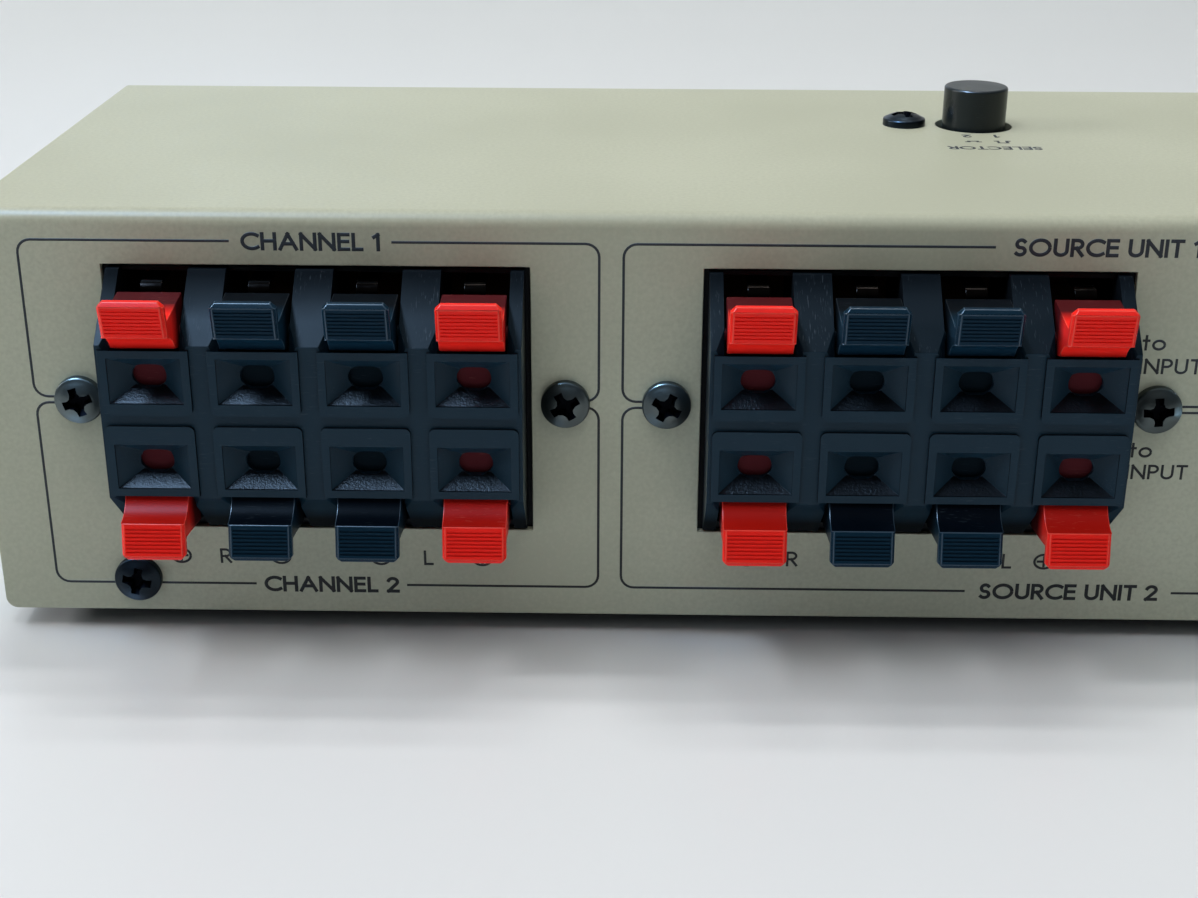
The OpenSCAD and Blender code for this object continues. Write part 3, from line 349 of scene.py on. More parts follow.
def paperBoard(name, look):
    material, tree, shader, where = startMaterial(name, Roughness=look["roughness"])
    along = addNode(tree, "ShaderNodeMapping", {"Vector": where, "Scale": look["stretch"]})
    fibre = addNode(tree, "ShaderNodeTexNoise", {
        "Vector": along.outputs["Vector"], "Scale": perMetre(look["fibre"]), "Detail": look["fibreDetail"],
    })
    colour = addNode(tree, "ShaderNodeMix", {
        "Factor": fibre.outputs["Fac"], "A": srgb(look["dark"]), "B": srgb(look["light"]),
    }, data_type="RGBA")
    bump = addNode(tree, "ShaderNodeBump", {"Height": fibre.outputs["Fac"], "Distance": look["lift"] * mm})
    tree.links.new(colour.outputs["Result"], shader.inputs["Base Color"])
    tree.links.new(bump.outputs["Normal"], shader.inputs["Normal"])
    return material


phenolicBoard = paperBoard("laminatedPaperBoard", boardLook)


# Plated or rolled metal: mirror-like under a skin of fine lines left by rolling, turning or handling, which
# are a few hundredths of a mm wide and are drawn as coarse as they need to show
metalLook = {
    "colour": "#b9babb", "dull": "#9fa1a2", "line": 0.25, "lineDetail": 3.0, "stretch": (0.15, 1.0, 1.0),
    "stain": 6.0, "stainDetail": 3.0, "roughness": 0.3, "sheenSpread": (-0.08, 0.12), "lift": 0.003,
}


def workedMetal(name, look):
    material, tree, shader, where = startMaterial(name, Metallic=1.0)
    along = addNode(tree, "ShaderNodeMapping", {"Vector": where, "Scale": look["stretch"]})
    line = addNode(tree, "ShaderNodeTexNoise", {
        "Vector": along.outputs["Vector"], "Scale": perMetre(look["line"]), "Detail": look["lineDetail"],
    })
    stain = addNode(tree, "ShaderNodeTexNoise", {
        "Vector": where, "Scale": perMetre(look["stain"]), "Detail": look["stainDetail"],
    })
    colour = addNode(tree, "ShaderNodeMix", {
        "Factor": stain.outputs["Fac"], "A": srgb(look["dull"]), "B": srgb(look["colour"]),
    }, data_type="RGBA")
    smoothest, roughest = (look["roughness"] + change for change in look["sheenSpread"])
    sheen = addNode(tree, "ShaderNodeMapRange", {
        "Value": line.outputs["Fac"], "To Min": smoothest, "To Max": roughest,
    })
    bump = addNode(tree, "ShaderNodeBump", {"Height": line.outputs["Fac"], "Distance": look["lift"] * mm})
    tree.links.new(colour.outputs["Result"], shader.inputs["Base Color"])
    tree.links.new(sheen.outputs["Result"], shader.inputs["Roughness"])
    tree.links.new(bump.outputs["Normal"], shader.inputs["Normal"])
    return material


zincPlate = workedMetal("brightZincPlate", metalLook)
blackZinc = workedMetal("blackZincPlate", {
    **metalLook, "colour": "#646b6a", "dull": "#414848", "roughness": 0.32,
})
blackOxide = workedMetal("blackOxide", {**metalLook, "colour": "#2b3238", "dull": "#1c2328"})
# Cross recesses, painted dark as the shade in them
recessShadeZinc = workedMetal("blackZincRecessShade", {
    **metalLook, "colour": "#0c0d12", "dull": "#050608", "roughness": 0.5,
})
# Clip springs, painted nearly black as the shade in the slots, so that only glints show there
tinnedBronzeInShade = workedMetal("tinnedBronzeStripInShade", {
    **metalLook, "colour": "#14110f", "dull": "#050404", "stain": 1.0, "roughness": 0.13,
})
musicWire = workedMetal("drawnSteelWire", {**metalLook, "colour": "#a5a6a7", "dull": "#8b8c8d"})
nickelPlate = workedMetal("nickelPlate", {
    **metalLook, "colour": "#c9c6bd", "dull": "#b3afa4", "roughness": 0.22,
})


# Screen-printed ink: flat, near black, a little broken where it sits on the pebbled paint
inkLook = {"colour": "#0a0c10", "thin": "#191c20", "grain": 0.3, "grainDetail": 2.0, "roughness": 0.6}


def screenInk(name, look):
    material, tree, shader, where = startMaterial(name, Roughness=look["roughness"])
    grain = addNode(tree, "ShaderNodeTexNoise", {
        "Vector": where, "Scale": perMetre(look["grain"]), "Detail": look["grainDetail"],
    })
    colour = addNode(tree, "ShaderNodeMix", {
        "Factor": grain.outputs["Fac"], "A": srgb(look["colour"]), "B": srgb(look["thin"]),
    }, data_type="RGBA")
    tree.links.new(colour.outputs["Result"], shader.inputs["Base Color"])
    return material


printInk = screenInk("screenPrintedInk", inkLook)
print("stage: materials")


# Softened copies of the moulded and folded pieces: rounded edges, which catch the light as real ones do
def softCopy(node, soft, finish):
    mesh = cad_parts[node].data.copy()
    mesh.materials.clear()
    for material in finish:
        mesh.materials.append(material)
    work = bmesh.new()
    work.from_mesh(mesh)
    bmesh.ops.remove_doubles(work, verts=work.verts, dist=soft["merge"] * mm)
    bmesh.ops.dissolve_limit(work, angle_limit=math.radians(soft["flat"]), verts=work.verts, edges=work.edges)
    for face in work.faces:
        face.material_index = soft["finishOf"](face)
        face.smooth = True
    for width, segments, chosen in soft["rounds"]:
        picked = [e for e in work.edges if e.is_manifold and chosen(e)
                  and e.calc_face_angle(0) > math.radians(soft["corner"])]
        bmesh.ops.bevel(work, geom=picked, offset=width * mm, offset_type="OFFSET", segments=segments,
                        profile=0.5, affect="EDGES", clamp_overlap=False, material=soft["edge"])
    for edge in work.edges:
        edge.smooth = not edge.is_manifold or edge.calc_face_angle(0) < math.radians(soft["crease"])
    work.to_mesh(mesh)
    work.free()
    piece = newObject(node + "_finished", mesh)
    weighted = piece.modifiers.new("flatFaces", "WEIGHTED_NORMAL")
    weighted.keep_sharp = True
    piece.data = plainMesh(piece)
    return piece


def stand(piece, node, body):
    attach(piece, body)
    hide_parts(node)


# Reach in front of the panel, in mm
def reach(point):
    return (faceY - point.y) / mm


def longerThan(length):
    return lambda edge: edge.calc_length() >= length * mm


# Long edges of the grip grooves on the levers' tabs, which stay sharp; mm
grooveLook = {"length": 7.0, "margin": 0.05}
# Where a moulding's finish changes: reaches and heights in mm, the others are parts of a face's normal
bodySides = {"stepReach": 8.4, "stepTurn": 0.15, "underFall": -0.25, "ribHeight": 9.5, "slopeRise": 0.3,
             "slopeFront": -0.2, "slopeReach": 0.5}
leverSides = {"neckRise": 0.2, "neckReach": 7.0, "insideFront": -0.5, "insideReach": 6.2}


def isGroove(edge):
    across = abs(edge.verts[0].co.x - edge.verts[1].co.x)
    return abs(across - grooveLook["length"] * mm) < grooveLook["margin"] * mm


def bodyFinish(face):
    middle, way = face.calc_center_median(), face.normal
    ribs = bodySides["ribHeight"] * mm  # the ribs lie further than this from the block's middle
    if reach(middle) > bodySides["stepReach"] and abs(way.y) < bodySides["stepTurn"]:
        return 3  # low steps round cells and funnels, painted shade on their walls
    if way.z < bodySides["underFall"] and middle.z < blockZ - ribs:
        return 4  # undersides of the lower ribs
    sloping = way.z > bodySides["slopeRise"] and way.y < bodySides["slopeFront"]
    if sloping and reach(middle) > bodySides["slopeReach"]:
        return 1 if abs(middle.z - blockZ) > ribs else 2  # slopes of the ribs, floors of the funnels
    return 0


def leverFinish(face):
    middle, way = face.calc_center_median(), face.normal
    lower = middle.z < blockZ
    if lower and way.z > leverSides["neckRise"] and reach(middle) > leverSides["neckReach"]:
        return 3  # necks of the lower levers, painted shade from the block above
    # Faces deep inside that face forward: dusty and with less sheen, as painted shade
    deepShade = reach(middle) < leverSides["insideReach"]
    return 2 if deepShade and way.y < leverSides["insideFront"] else 0


# Rounds are width in mm, segments and which edges; edge is the finish of the rounds, -1 that of their
# neighbours; merge is in mm, and flat, corner and crease are in degrees
softBase = {"merge": 0.002, "flat": 0.3, "corner": 35, "crease": 40, "edge": -1, "finishOf": lambda face: 0}
softBody = {**softBase, "rounds": [(0.06, 2, longerThan(0.6))], "finishOf": bodyFinish}
softSheet = {**softBase, "rounds": [(0.14, 2, longerThan(0.1))]}
softLever = {**softBase, "edge": 1, "finishOf": leverFinish,
             "rounds": [(0.1, 2, lambda edge: edge.calc_length() > 0.35 * mm and not isGroove(edge))]}
softTurned = {**softBase, "rounds": [(0.12, 2, longerThan(0.05))]}

stand(softCopy("cover", softSheet, [creamEnamel]), "cover", "case")
bodySet = [blackAbs, rubbedAbs, funnelAbs, stepShadeAbs, underAbs]
for block in (1, 2):
    node = f"terminal_body_{block}"
    stand(softCopy(node, softBody, bodySet), node, "case")
redSet = [redAbs, redAbsEdgeWearAndHighlight, redAbsInsideDustAndShade, redAbsNeckShade]
blackSet = [leverAbs, leverAbsEdgeWearAndHighlight, leverAbsInsideDustAndShade, leverAbsNeckShade]
for block, row, col in clipRows:
    node = f"lever_{block}_{row}_{col}"
    red = col in (1, 4)
    piece = softCopy(node, softLever, redSet if red else blackSet)
    stand(piece, node, node)
for i in (1, 2):
    node = f"button_cap_{i}"
    stand(softCopy(node, softTurned, [buttonAbs]), node, f"button_{i}")
turned = {"jack_sleeves": (nickelPlate, "nickel_plate"), "feet": (footRubber, "foot_rubber"),
          "jack_inserts_red": (socketRed, "socket_red"), "jack_inserts_white": (socketWhite, "socket_white")}
for node, (material, slot) in turned.items():
    stand(softCopy(node, softTurned, [material]), node, "case")
print("stage: softened copies")


# Springs, each a softened copy with a mesh of its own: strips behind the levers, coils under the plungers
softStrip = {**softBase, "rounds": [(0.1, 2, longerThan(0.3))]}
softCoil = {**softBase, "rounds": []}
for block, row, col in clipRows:
    node = f"clip_spring_{block}_{row}_{col}"
    piece = softCopy(node, softStrip, [tinnedBronzeInShade])
    stand(piece, node, "case")
    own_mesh(piece)
for i in (1, 2):
    node = f"switch_spring_{i}"
    piece = softCopy(node, softCoil, [musicWire])
    stand(piece, node, "case")
    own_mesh(piece)
print("stage: springs")


# Screws: one binding head with a cross recess, set on points by a node tree; sizes in mm, crease in degrees
screwLook = {
    "headRadius": 3.2, "rim": 1.15, "height": 2.0, "rimRound": 0.3, "shank": 1.45, "shankLength": 4.5,
    "crossReach": 2.2, "crossWidth": 1.3, "crossWaist": (1.3, 0.56), "crossWeb": 0.78, "crossDepth": 1.5,
    "crossFoot": 0.6, "crossLift": 0.4,  # share of the width at the cross's foot, rise of its cutter
    "recessFoot": 0.1, "recessMargin": 0.05,  # faces further than these from the skin are in the recess
    "rimSteps": 3, "domeSteps": 8, "sides": 40, "merge": 0.0005, "crease": 35,
}


def latheMesh(name, profile, look):
    work = bmesh.new()
    ring = [work.verts.new((r * mm, 0, z * mm)) for r, z in profile]
    line = [work.edges.new(pair) for pair in zip(ring, ring[1:])]
    bmesh.ops.spin(work, geom=ring + line, cent=(0, 0, 0), axis=(0, 0, 1), angle=2 * math.pi,
                   steps=look["sides"], use_merge=True)
    bmesh.ops.remove_doubles(work, verts=work.verts, dist=look["merge"] * mm)
    bmesh.ops.recalc_face_normals(work, faces=work.faces)
    for face in work.faces:
        face.smooth = True
    mesh = bpy.data.meshes.new(name)
    work.to_mesh(mesh)
    work.free()
    return mesh


def crossCutter(look):
    far, half = look["crossReach"], look["crossWidth"] / 2
    waist, web = look["crossWaist"], look["crossWeb"]
    quarter = [(far, -half), (far, half), waist, (web, web), waist[::-1]]
    outline = [Matrix.Rotation(turn * math.pi / 2, 2) @ Vector(p) for turn in range(4) for p in quarter]
    work = bmesh.new()
    foot = look["height"] - look["crossDepth"]
    lift = look["crossLift"]
    wide = 1 + (1 - look["crossFoot"]) * lift / look["crossDepth"]
    rings = []
    for scale, z in ((look["crossFoot"], foot), (wide, look["height"] + lift)):
        rings.append([work.verts.new((p.x * scale * mm, p.y * scale * mm, z * mm)) for p in outline])
    count = len(outline)
    for i in range(count):
        k = (i + 1) % count
        work.faces.new((rings[0][i], rings[0][k], rings[1][k], rings[1][i]))
    work.faces.new(rings[0][::-1])
    work.faces.new(rings[1])
    mesh = bpy.data.meshes.new("crossCutter")
    work.to_mesh(mesh)
    work.free()
    return mesh


def domeHeight(across, look):
    share = across / (look["headRadius"] - look["rimRound"])
    return look["rim"] + (look["height"] - look["rim"]) * (1 - share ** 2)


def isRecess(place, look):
    across = math.hypot(place.x, place.y)
    skin = domeHeight(across, look) - look["recessMargin"]
    return across < look["crossReach"] and look["recessFoot"] < place.z < skin


def screwTemplate(look):
    r, rim, soft = look["headRadius"], look["rim"], look["rimRound"]
    shank, foot = look["shank"], -look["shankLength"]
    profile = [(0, foot), (shank, foot), (shank, 0), (r, 0), (r, rim - soft)]
    for step in range(look["rimSteps"]):
        a = math.radians(90 * (step + 1) / look["rimSteps"])
        profile.append((r - soft + soft * math.cos(a), rim - soft + soft * math.sin(a)))
    for step in range(look["domeSteps"]):
        across = (r - soft) * (1 - (step + 1) / look["domeSteps"])
        profile.append((across, domeHeight(across, look)))
    screw = newObject("screwTemplate", latheMesh("screwTemplate", profile, look))
    cutter = newObject("crossCutter", crossCutter(look))
    cut = screw.modifiers.new("crossRecess", "BOOLEAN")
    cut.object = cutter
    cut.operation = "DIFFERENCE"
    cut.solver = "EXACT"
    mesh = plainMesh(screw)
    work = bmesh.new()
    work.from_mesh(mesh)
    for edge in work.edges:
        edge.smooth = not edge.is_manifold or edge.calc_face_angle(0) < math.radians(look["crease"])
    work.to_mesh(mesh)
    work.free()
    inside = [isRecess(face.center / mm, look) for face in mesh.polygons]
    mesh.attributes.new("recess", "BOOLEAN", "FACE").data.foreach_set("value", inside)
    screw.data = mesh
    bpy.data.objects.remove(cutter)
    return screw


def screwTree():
    tree = bpy.data.node_groups.new("setScrews", "GeometryNodeTree")
    tree.interface.new_socket("Points", in_out="INPUT", socket_type="NodeSocketGeometry")
    tree.interface.new_socket("Screw", in_out="INPUT", socket_type="NodeSocketObject")
    tree.interface.new_socket("Finish", in_out="INPUT", socket_type="NodeSocketMaterial")
    tree.interface.new_socket("Recess Finish", in_out="INPUT", socket_type="NodeSocketMaterial")
    tree.interface.new_socket("Screws", in_out="OUTPUT", socket_type="NodeSocketGeometry")
    given = addNode(tree, "NodeGroupInput").outputs
    way = addNode(tree, "GeometryNodeInputNamedAttribute", {"Name": "way"}, data_type="FLOAT_VECTOR")
    spin = addNode(tree, "GeometryNodeInputNamedAttribute", {"Name": "spin"}, data_type="FLOAT")
    aim = addNode(tree, "FunctionNodeAlignRotationToVector", {"Vector": way.outputs["Attribute"]}, axis="Z")
    turn = addNode(tree, "FunctionNodeAxisAngleToRotation", {"Angle": spin.outputs["Attribute"]})
    both = addNode(tree, "FunctionNodeRotateRotation", {
        "Rotation": aim.outputs["Rotation"], "Rotate By": turn.outputs["Rotation"],
    }, rotation_space="LOCAL")
    shape = addNode(tree, "GeometryNodeObjectInfo", {"Object": given["Screw"], "As Instance": True})
    placed = addNode(tree, "GeometryNodeInstanceOnPoints", {
        "Points": given["Points"], "Instance": shape.outputs["Geometry"],
        "Rotation": both.outputs["Rotation"],
    })
    real = addNode(tree, "GeometryNodeRealizeInstances", {"Geometry": placed.outputs["Instances"]})
    plated = addNode(tree, "GeometryNodeSetMaterial", {
        "Geometry": real.outputs["Geometry"], "Material": given["Finish"],
    })
    recess = addNode(tree, "GeometryNodeInputNamedAttribute", {"Name": "recess"}, data_type="BOOLEAN")
    finished = addNode(tree, "GeometryNodeSetMaterial", {
        "Geometry": plated.outputs["Geometry"], "Selection": recess.outputs["Attribute"],
        "Material": given["Recess Finish"],
    })
    addNode(tree, "NodeGroupOutput", {"Screws": finished.outputs["Geometry"]})
    return tree


def runTree(name, data, tree, values):
    carrier = newObject(name, data)
    modifier = carrier.modifiers.new(tree.name, "NODES")
    modifier.node_group = tree
    sockets = {s.name: s.identifier for s in tree.interface.items_tree if s.in_out == "INPUT"}
    for key, value in values.items():
        modifier[sockets[key]] = value
    mesh = plainMesh(carrier)
    mesh.name = name
    bpy.data.objects.remove(carrier)
    return newObject(name, mesh)


# Head centres come from the nodes' own boxes; spins, in degrees, are the photograph's where it shows them
screwSets = {
    "terminal_screws": {"way": (0, -1, 0), "spins": (18, 30, -28, 4), "finish": blackZinc},
    "base_screws": {"way": (0, -1, 0), "spins": (-12, 20, 35, 8), "finish": blackOxide},
    "top_screws": {"way": (0, 0, 1), "spins": (15, 50), "finish": blackOxide},
    "jack_screws": {"way": (0, -1, 0), "spins": (10, 40, -20, 65), "finish": blackZinc},
}


# Boxes of a node's separate solids, near face before far face and then from left to right
def islands(node):
    work = bmesh.new()
    work.from_mesh(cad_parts[node].data)
    bmesh.ops.remove_doubles(work, verts=work.verts, dist=softBase["merge"] * mm)
    left = set(work.verts)
    boxes = []
    while left:
        grown = {left.pop()}
        edge = set(grown)
        while edge:
            edge = {e.other_vert(v) for v in edge for e in v.link_edges} & left
            left -= edge
            grown |= edge
        points = [v.co for v in grown]
        boxes.append((Vector(map(min, *points)), Vector(map(max, *points))))
    work.free()
    return sorted(boxes, key=lambda b: (b[0].y + b[1].y > 0, b[0].x))


def screwPoints(node, look):
    boxes = islands(node)
    mesh = bpy.data.meshes.new(node + "Points")
    ways, places = [], []
    for low, high in boxes:
        middle = (low + high) / 2
        way = Vector(look["way"])
        if way.y and middle.y > 0:
            way = -way  # heads on the far face point the other way
        head = high if max(way) > 0 else low
        axis = max(range(3), key=lambda i: abs(way[i]))
        middle[axis] = head[axis] - way[axis] * screwLook["height"] * mm
        ways.append(way)
        places.append(middle)
    mesh.from_pydata(places, [], [])
    parts = [part for way in ways for part in way]
    spins = [math.radians(spin) for spin in look["spins"]]
    mesh.attributes.new("way", "FLOAT_VECTOR", "POINT").data.foreach_set("vector", parts)
    mesh.attributes.new("spin", "FLOAT", "POINT").data.foreach_set("value", spins)
    return mesh


screw = screwTemplate(screwLook)
setScrews = screwTree()
for node, look in screwSets.items():
    piece = runTree(node + "_finished", screwPoints(node, look), setScrews,
                    {"Screw": screw, "Finish": look["finish"], "Recess Finish": recessShadeZinc})
    stand(piece, node, "case")
bpy.data.objects.remove(screw)
print("stage: screws")


# Print: strokes drawn as curves, which a node tree turns into flat ink
arcStep = 12  # degrees
cornerSteps = 6
inkSides = 8  # of the tube round a stroke, before it is flattened


def arc(cx, cy, rx, ry, start, end):
    steps = max(2, int(abs(end - start) / arcStep))
    angles = [math.radians(start + (end - start) * i / steps) for i in range(steps + 1)]
    return [(cx + rx * math.cos(a), cy + ry * math.sin(a)) for a in angles]


# Letters of one even stroke, in cap heights: width, then strokes
letters = {
    "A": (0.84, [[(0, 0), (0.42, 1)], [(0.42, 1), (0.84, 0)], [(0.16, 0.34), (0.68, 0.34)]]),
    "C": (0.78, [arc(0.5, 0.5, 0.5, 0.5, 52, 308)]),
    "E": (0.48, [[(0, 0), (0, 1)], [(0, 1), (0.48, 1)], [(0, 0.53), (0.45, 0.53)], [(0, 0), (0.48, 0)]]),
    "H": (0.66, [[(0, 0), (0, 1)], [(0.66, 0), (0.66, 1)], [(0, 0.53), (0.66, 0.53)]]),
    "I": (0.0, [[(0, 0), (0, 1)]]),
    "L": (0.42, [[(0, 0), (0, 1)], [(0, 0), (0.42, 0)]]),
    "N": (0.72, [[(0, 0), (0, 1)], [(0, 1), (0.72, 0)], [(0.72, 0), (0.72, 1)]]),
    "O": (1.0, [arc(0.5, 0.5, 0.5, 0.5, 0, 360)]),
    "P": (0.5, [[(0, 0), (0, 1)], [(0, 1), *arc(0.24, 0.735, 0.265, 0.265, 90, -90), (0, 0.47)]]),
    "R": (0.52, [[(0, 0), (0, 1)], [(0, 1), *arc(0.24, 0.735, 0.265, 0.265, 90, -90), (0, 0.47)],
                 [(0.22, 0.47), (0.52, 0)]]),
    "S": (0.5, [arc(0.27, 0.74, 0.22, 0.26, 40, 250) + arc(0.24, 0.25, 0.25, 0.25, 70, -140)]),
    "T": (0.54, [[(0.27, 0), (0.27, 1)], [(0, 1), (0.54, 1)]]),
    "o": (0.66, [arc(0.33, 0.33, 0.33, 0.33, 0, 360)]),
    "t": (0.3, [[(0.15, 0), (0.15, 1)], [(0, 0.66), (0.3, 0.66)]]),
    "U": (0.62, [[(0, 1), *arc(0.31, 0.31, 0.31, 0.31, 180, 360), (0.62, 1)]]),
    "1": (0.2, [[(0.2, 0), (0.2, 1)], [(0.2, 1), (0, 0.84)]]),
    "2": (0.52, [[*arc(0.26, 0.74, 0.26, 0.26, 160, -35), (0, 0)], [(0, 0), (0.54, 0)]]),
    "+": (1.1, [arc(0.55, 0.5, 0.55, 0.55, 0, 360), [(0.2, 0.5), (0.9, 0.5)], [(0.55, 0.15), (0.55, 0.85)]]),
    "-": (1.1, [arc(0.55, 0.5, 0.55, 0.55, 0, 360), [(0.2, 0.5), (0.9, 0.5)]]),
    "^": (0.7, [[(-0.2, 0), (0, 0)], [(0, 0), (0, 0.8)], [(0, 0.8), (0.7, 0.8)], [(0.7, 0.8), (0.7, 0)],
                [(0.7, 0), (0.9, 0)]]),  # button up
    "_": (0.7, [[(-0.2, 0.4), (0, 0.4)], [(0, 0.4), (0, 0.1)], [(0, 0.1), (0.7, 0.1)],
                [(0.7, 0.1), (0.7, 0.4)], [(0.7, 0.4), (0.9, 0.4)]]),  # button down
}
letterGap = 0.35  # in cap heights, as is the next
wordGap = 0.5
letterWide = 1.25  # widths of the table times this


def squareEnds(line, extra):
    if line[0] == line[-1]:
        return line
    points = [Vector(p) for p in line]
    start = points[0] + (points[0] - points[1]).normalized() * extra
    end = points[-1] + (points[-1] - points[-2]).normalized() * extra
    return [tuple(start), *line[1:-1], tuple(end)]


# Cap height over all and stroke width in mm; the stroke's middle runs half a stroke inside
def textStrokes(text, capHeight, stroke, place, facingAway=False, fromLeft=False):
    height = capHeight - stroke
    strokes, pen = [], 0.0
    for mark in text:
        if mark == " ":
            pen += wordGap
            continue
        width, lines = letters[mark]
        strokes += [[(pen + x * letterWide, y) for x, y in line] for line in lines]
        pen += width * letterWide + letterGap
    shift = 0.0 if fromLeft else (pen - letterGap) / 2
    way = -1 if facingAway else 1
    placed = []
    for line in strokes:
        moved = [(place[0] + way * (x - shift) * height, place[1] + way * (y - 0.5) * height)
                 for x, y in line]
        placed.append(squareEnds(moved, stroke / 2))
    return placed


def roundedPath(points, radius):
    path = [points[0]]
    for before, corner, after in zip(points, points[1:], points[2:]):
        inward = [Vector(p) - Vector(corner) for p in (before, after)]
        start, end = (Vector(corner) + v.normalized() * radius for v in inward)
        centre = start + end - Vector(corner)
        for step in range(cornerSteps + 1):
            a = math.radians(90 * step / cornerSteps)
            path.append(tuple(centre + (start - centre) * math.cos(a) + (end - centre) * math.sin(a)))
    return path + [points[-1]]


def printTree():
    tree = bpy.data.node_groups.new("layInk", "GeometryNodeTree")
    tree.interface.new_socket("Strokes", in_out="INPUT", socket_type="NodeSocketGeometry")
    tree.interface.new_socket("Stroke Width", in_out="INPUT", socket_type="NodeSocketFloat")
    tree.interface.new_socket("Flatten", in_out="INPUT", socket_type="NodeSocketVector")
    tree.interface.new_socket("Place", in_out="INPUT", socket_type="NodeSocketVector")
    tree.interface.new_socket("Ink", in_out="INPUT", socket_type="NodeSocketMaterial")
    tree.interface.new_socket("Print", in_out="OUTPUT", socket_type="NodeSocketGeometry")
    given = addNode(tree, "NodeGroupInput").outputs
    half = addNode(tree, "ShaderNodeMath", {0: given["Stroke Width"], 1: 0.5}, operation="MULTIPLY")
    ring = addNode(tree, "GeometryNodeCurvePrimitiveCircle", {
        "Resolution": inkSides, "Radius": half.outputs[0],
    })
    tube = addNode(tree, "GeometryNodeCurveToMesh", {
        "Curve": given["Strokes"], "Profile Curve": ring.outputs["Curve"], "Fill Caps": True,
    })
    laid = addNode(tree, "GeometryNodeTransform", {
        "Geometry": tube.outputs["Mesh"], "Scale": given["Flatten"], "Translation": given["Place"],
    })
    real = addNode(tree, "GeometryNodeRealizeInstances", {"Geometry": laid.outputs["Geometry"]})
    inked = addNode(tree, "GeometryNodeSetMaterial", {
        "Geometry": real.outputs["Geometry"], "Material": given["Ink"],
    })
    addNode(tree, "NodeGroupOutput", {"Print": inked.outputs["Geometry"]})
    return tree


def strokeCurve(name, strokes, lift):
    curve = bpy.data.curves.new(name, "CURVE")
    curve.dimensions = "3D"
    for stroke in strokes:
        spline = curve.splines.new("POLY")
        spline.points.add(len(stroke) - 1)
        for point, place in zip(spline.points, stroke):
            point.co = (*[c * mm for c in lift(*place)], 1.0)
    return curve


# Printed places in mm: x along the face from its middle, z up from the case's edge, y back from the face
printLook = {
    "lineWidth": 0.34, "letterWidth": 0.48, "smallWidth": 0.34, "topWidth": 0.42, "proud": 0.02,
    "cornerRadius": 1.75, "topLine": 52.5, "bottomLine": 4.15, "midLines": (31.25, 30.4),
    "frames": [  # left, right, label gap above, label gap below, inner ends of the middle lines
        (-127.5, -53.5, (-100.4, -79.8), (-100.2, -79.6), (-121.5, -57.9)),
        (-50.4, 71.1, (-3.6, 24.3), (-3.6, 24.3), (-44.6, 19.0)),
        (74.2, 127.5, (89.0, 112.6), (89.0, 112.6), None),
    ],
    # Words with the x of their middles above and below, then texts with x and z
    "labels": [("CHANNEL", -90.1, -89.9), ("SOURCE UNIT", 10.4, 10.4), ("LINE", 100.8, 100.8)],
    "labelHeight": 2.4,
    "marks": [("R", -104.1, 8.3), ("L", -76.5, 8.3), ("R", -27.3, 8.7), ("L", 1.7, 8.7)],
    "signs": [("+", -110.2, 8.3), ("-", -96.6, 8.3), ("-", -83.0, 8.3), ("+", -69.2, 8.3), ("+", 6.7, 8.7),
              ("-", -33.4, 8.7)],
    "notes": [("to", 16.4, 40.0), ("INPUT", 16.4, 36.8), ("to", 16.4, 25.1), ("INPUT", 16.4, 22.0)],
    "markHeight": 2.2,
    "noteHeight": 2.1,
    # Texts on the top with x, y and cap height
    "topWords": [("SELECTOR", 3.2, 38.4, 2.0), ("^", 5.0, 42.2, 1.9), ("_", 0.7, 42.2, 1.9),
                 ("1", 4.8, 46.2, 1.8), ("2", 0.4, 46.2, 1.8)],
}


def frameLines(look):
    strokes, r = [], look["cornerRadius"]
    upper, lower = look["midLines"]
    for left, right, gapAbove, gapBelow, inner in look["frames"]:
        ends = inner or ((left + right) / 2,) * 2
        for side, gapTop, gapFoot, end in ((left, gapAbove[0], gapBelow[0], ends[0]),
                                           (right, gapAbove[1], gapBelow[1], ends[1])):
            above = [(gapTop, look["topLine"]), (side, look["topLine"]), (side, upper), (end, upper)]
            below = [(end, lower), (side, lower), (side, look["bottomLine"]), (gapFoot, look["bottomLine"])]
            strokes += [roundedPath(above, r), roundedPath(below, r)]
    return strokes


def layPrint(name, strokes, width, onTop):
    lift = (lambda x, y: (x, y, 0.0)) if onTop else (lambda x, z: (x, 0.0, z))
    flat = printLook["proud"] / (width / 2)
    piece = runTree(name, strokeCurve(name, strokes, lift), layInk, {
        "Stroke Width": width * mm,
        "Flatten": (1.0, 1.0, flat) if onTop else (1.0, flat, 1.0),
        "Place": (0.0, faceY, topZ) if onTop else (0.0, faceY, edgeZ),
        "Ink": printInk,
    })
    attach(piece, "case")


layInk = printTree()
layPrint("print_frames", frameLines(printLook), printLook["lineWidth"], False)
words = []
for label, above, below in printLook["labels"]:
    for number, x, z in ((" 1", above, printLook["topLine"]), (" 2", below, printLook["bottomLine"])):
        words += textStrokes(label + number, printLook["labelHeight"], printLook["letterWidth"], (x, z))
layPrint("print_labels", words, printLook["letterWidth"], False)
small = []
thin = printLook["smallWidth"]
for text, x, z in printLook["marks"] + printLook["signs"]:
    small += textStrokes(text, printLook["markHeight"], thin, (x, z))
for text, x, z in printLook["notes"]:
    small += textStrokes(text, printLook["noteHeight"], thin, (x, z), fromLeft=True)
layPrint("print_notes", small, thin, False)
topStrokes = []
buttonStep = (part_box("button_cap_2")[0].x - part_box("button_cap_1")[0].x) / mm
for shift in (0.0, buttonStep):
    for text, x, y, height in printLook["topWords"]:
        topStrokes += textStrokes(text, height, printLook["topWidth"], (x + shift, y), facingAway=True)
layPrint("print_top", topStrokes, printLook["topWidth"], True)
print("stage: print")


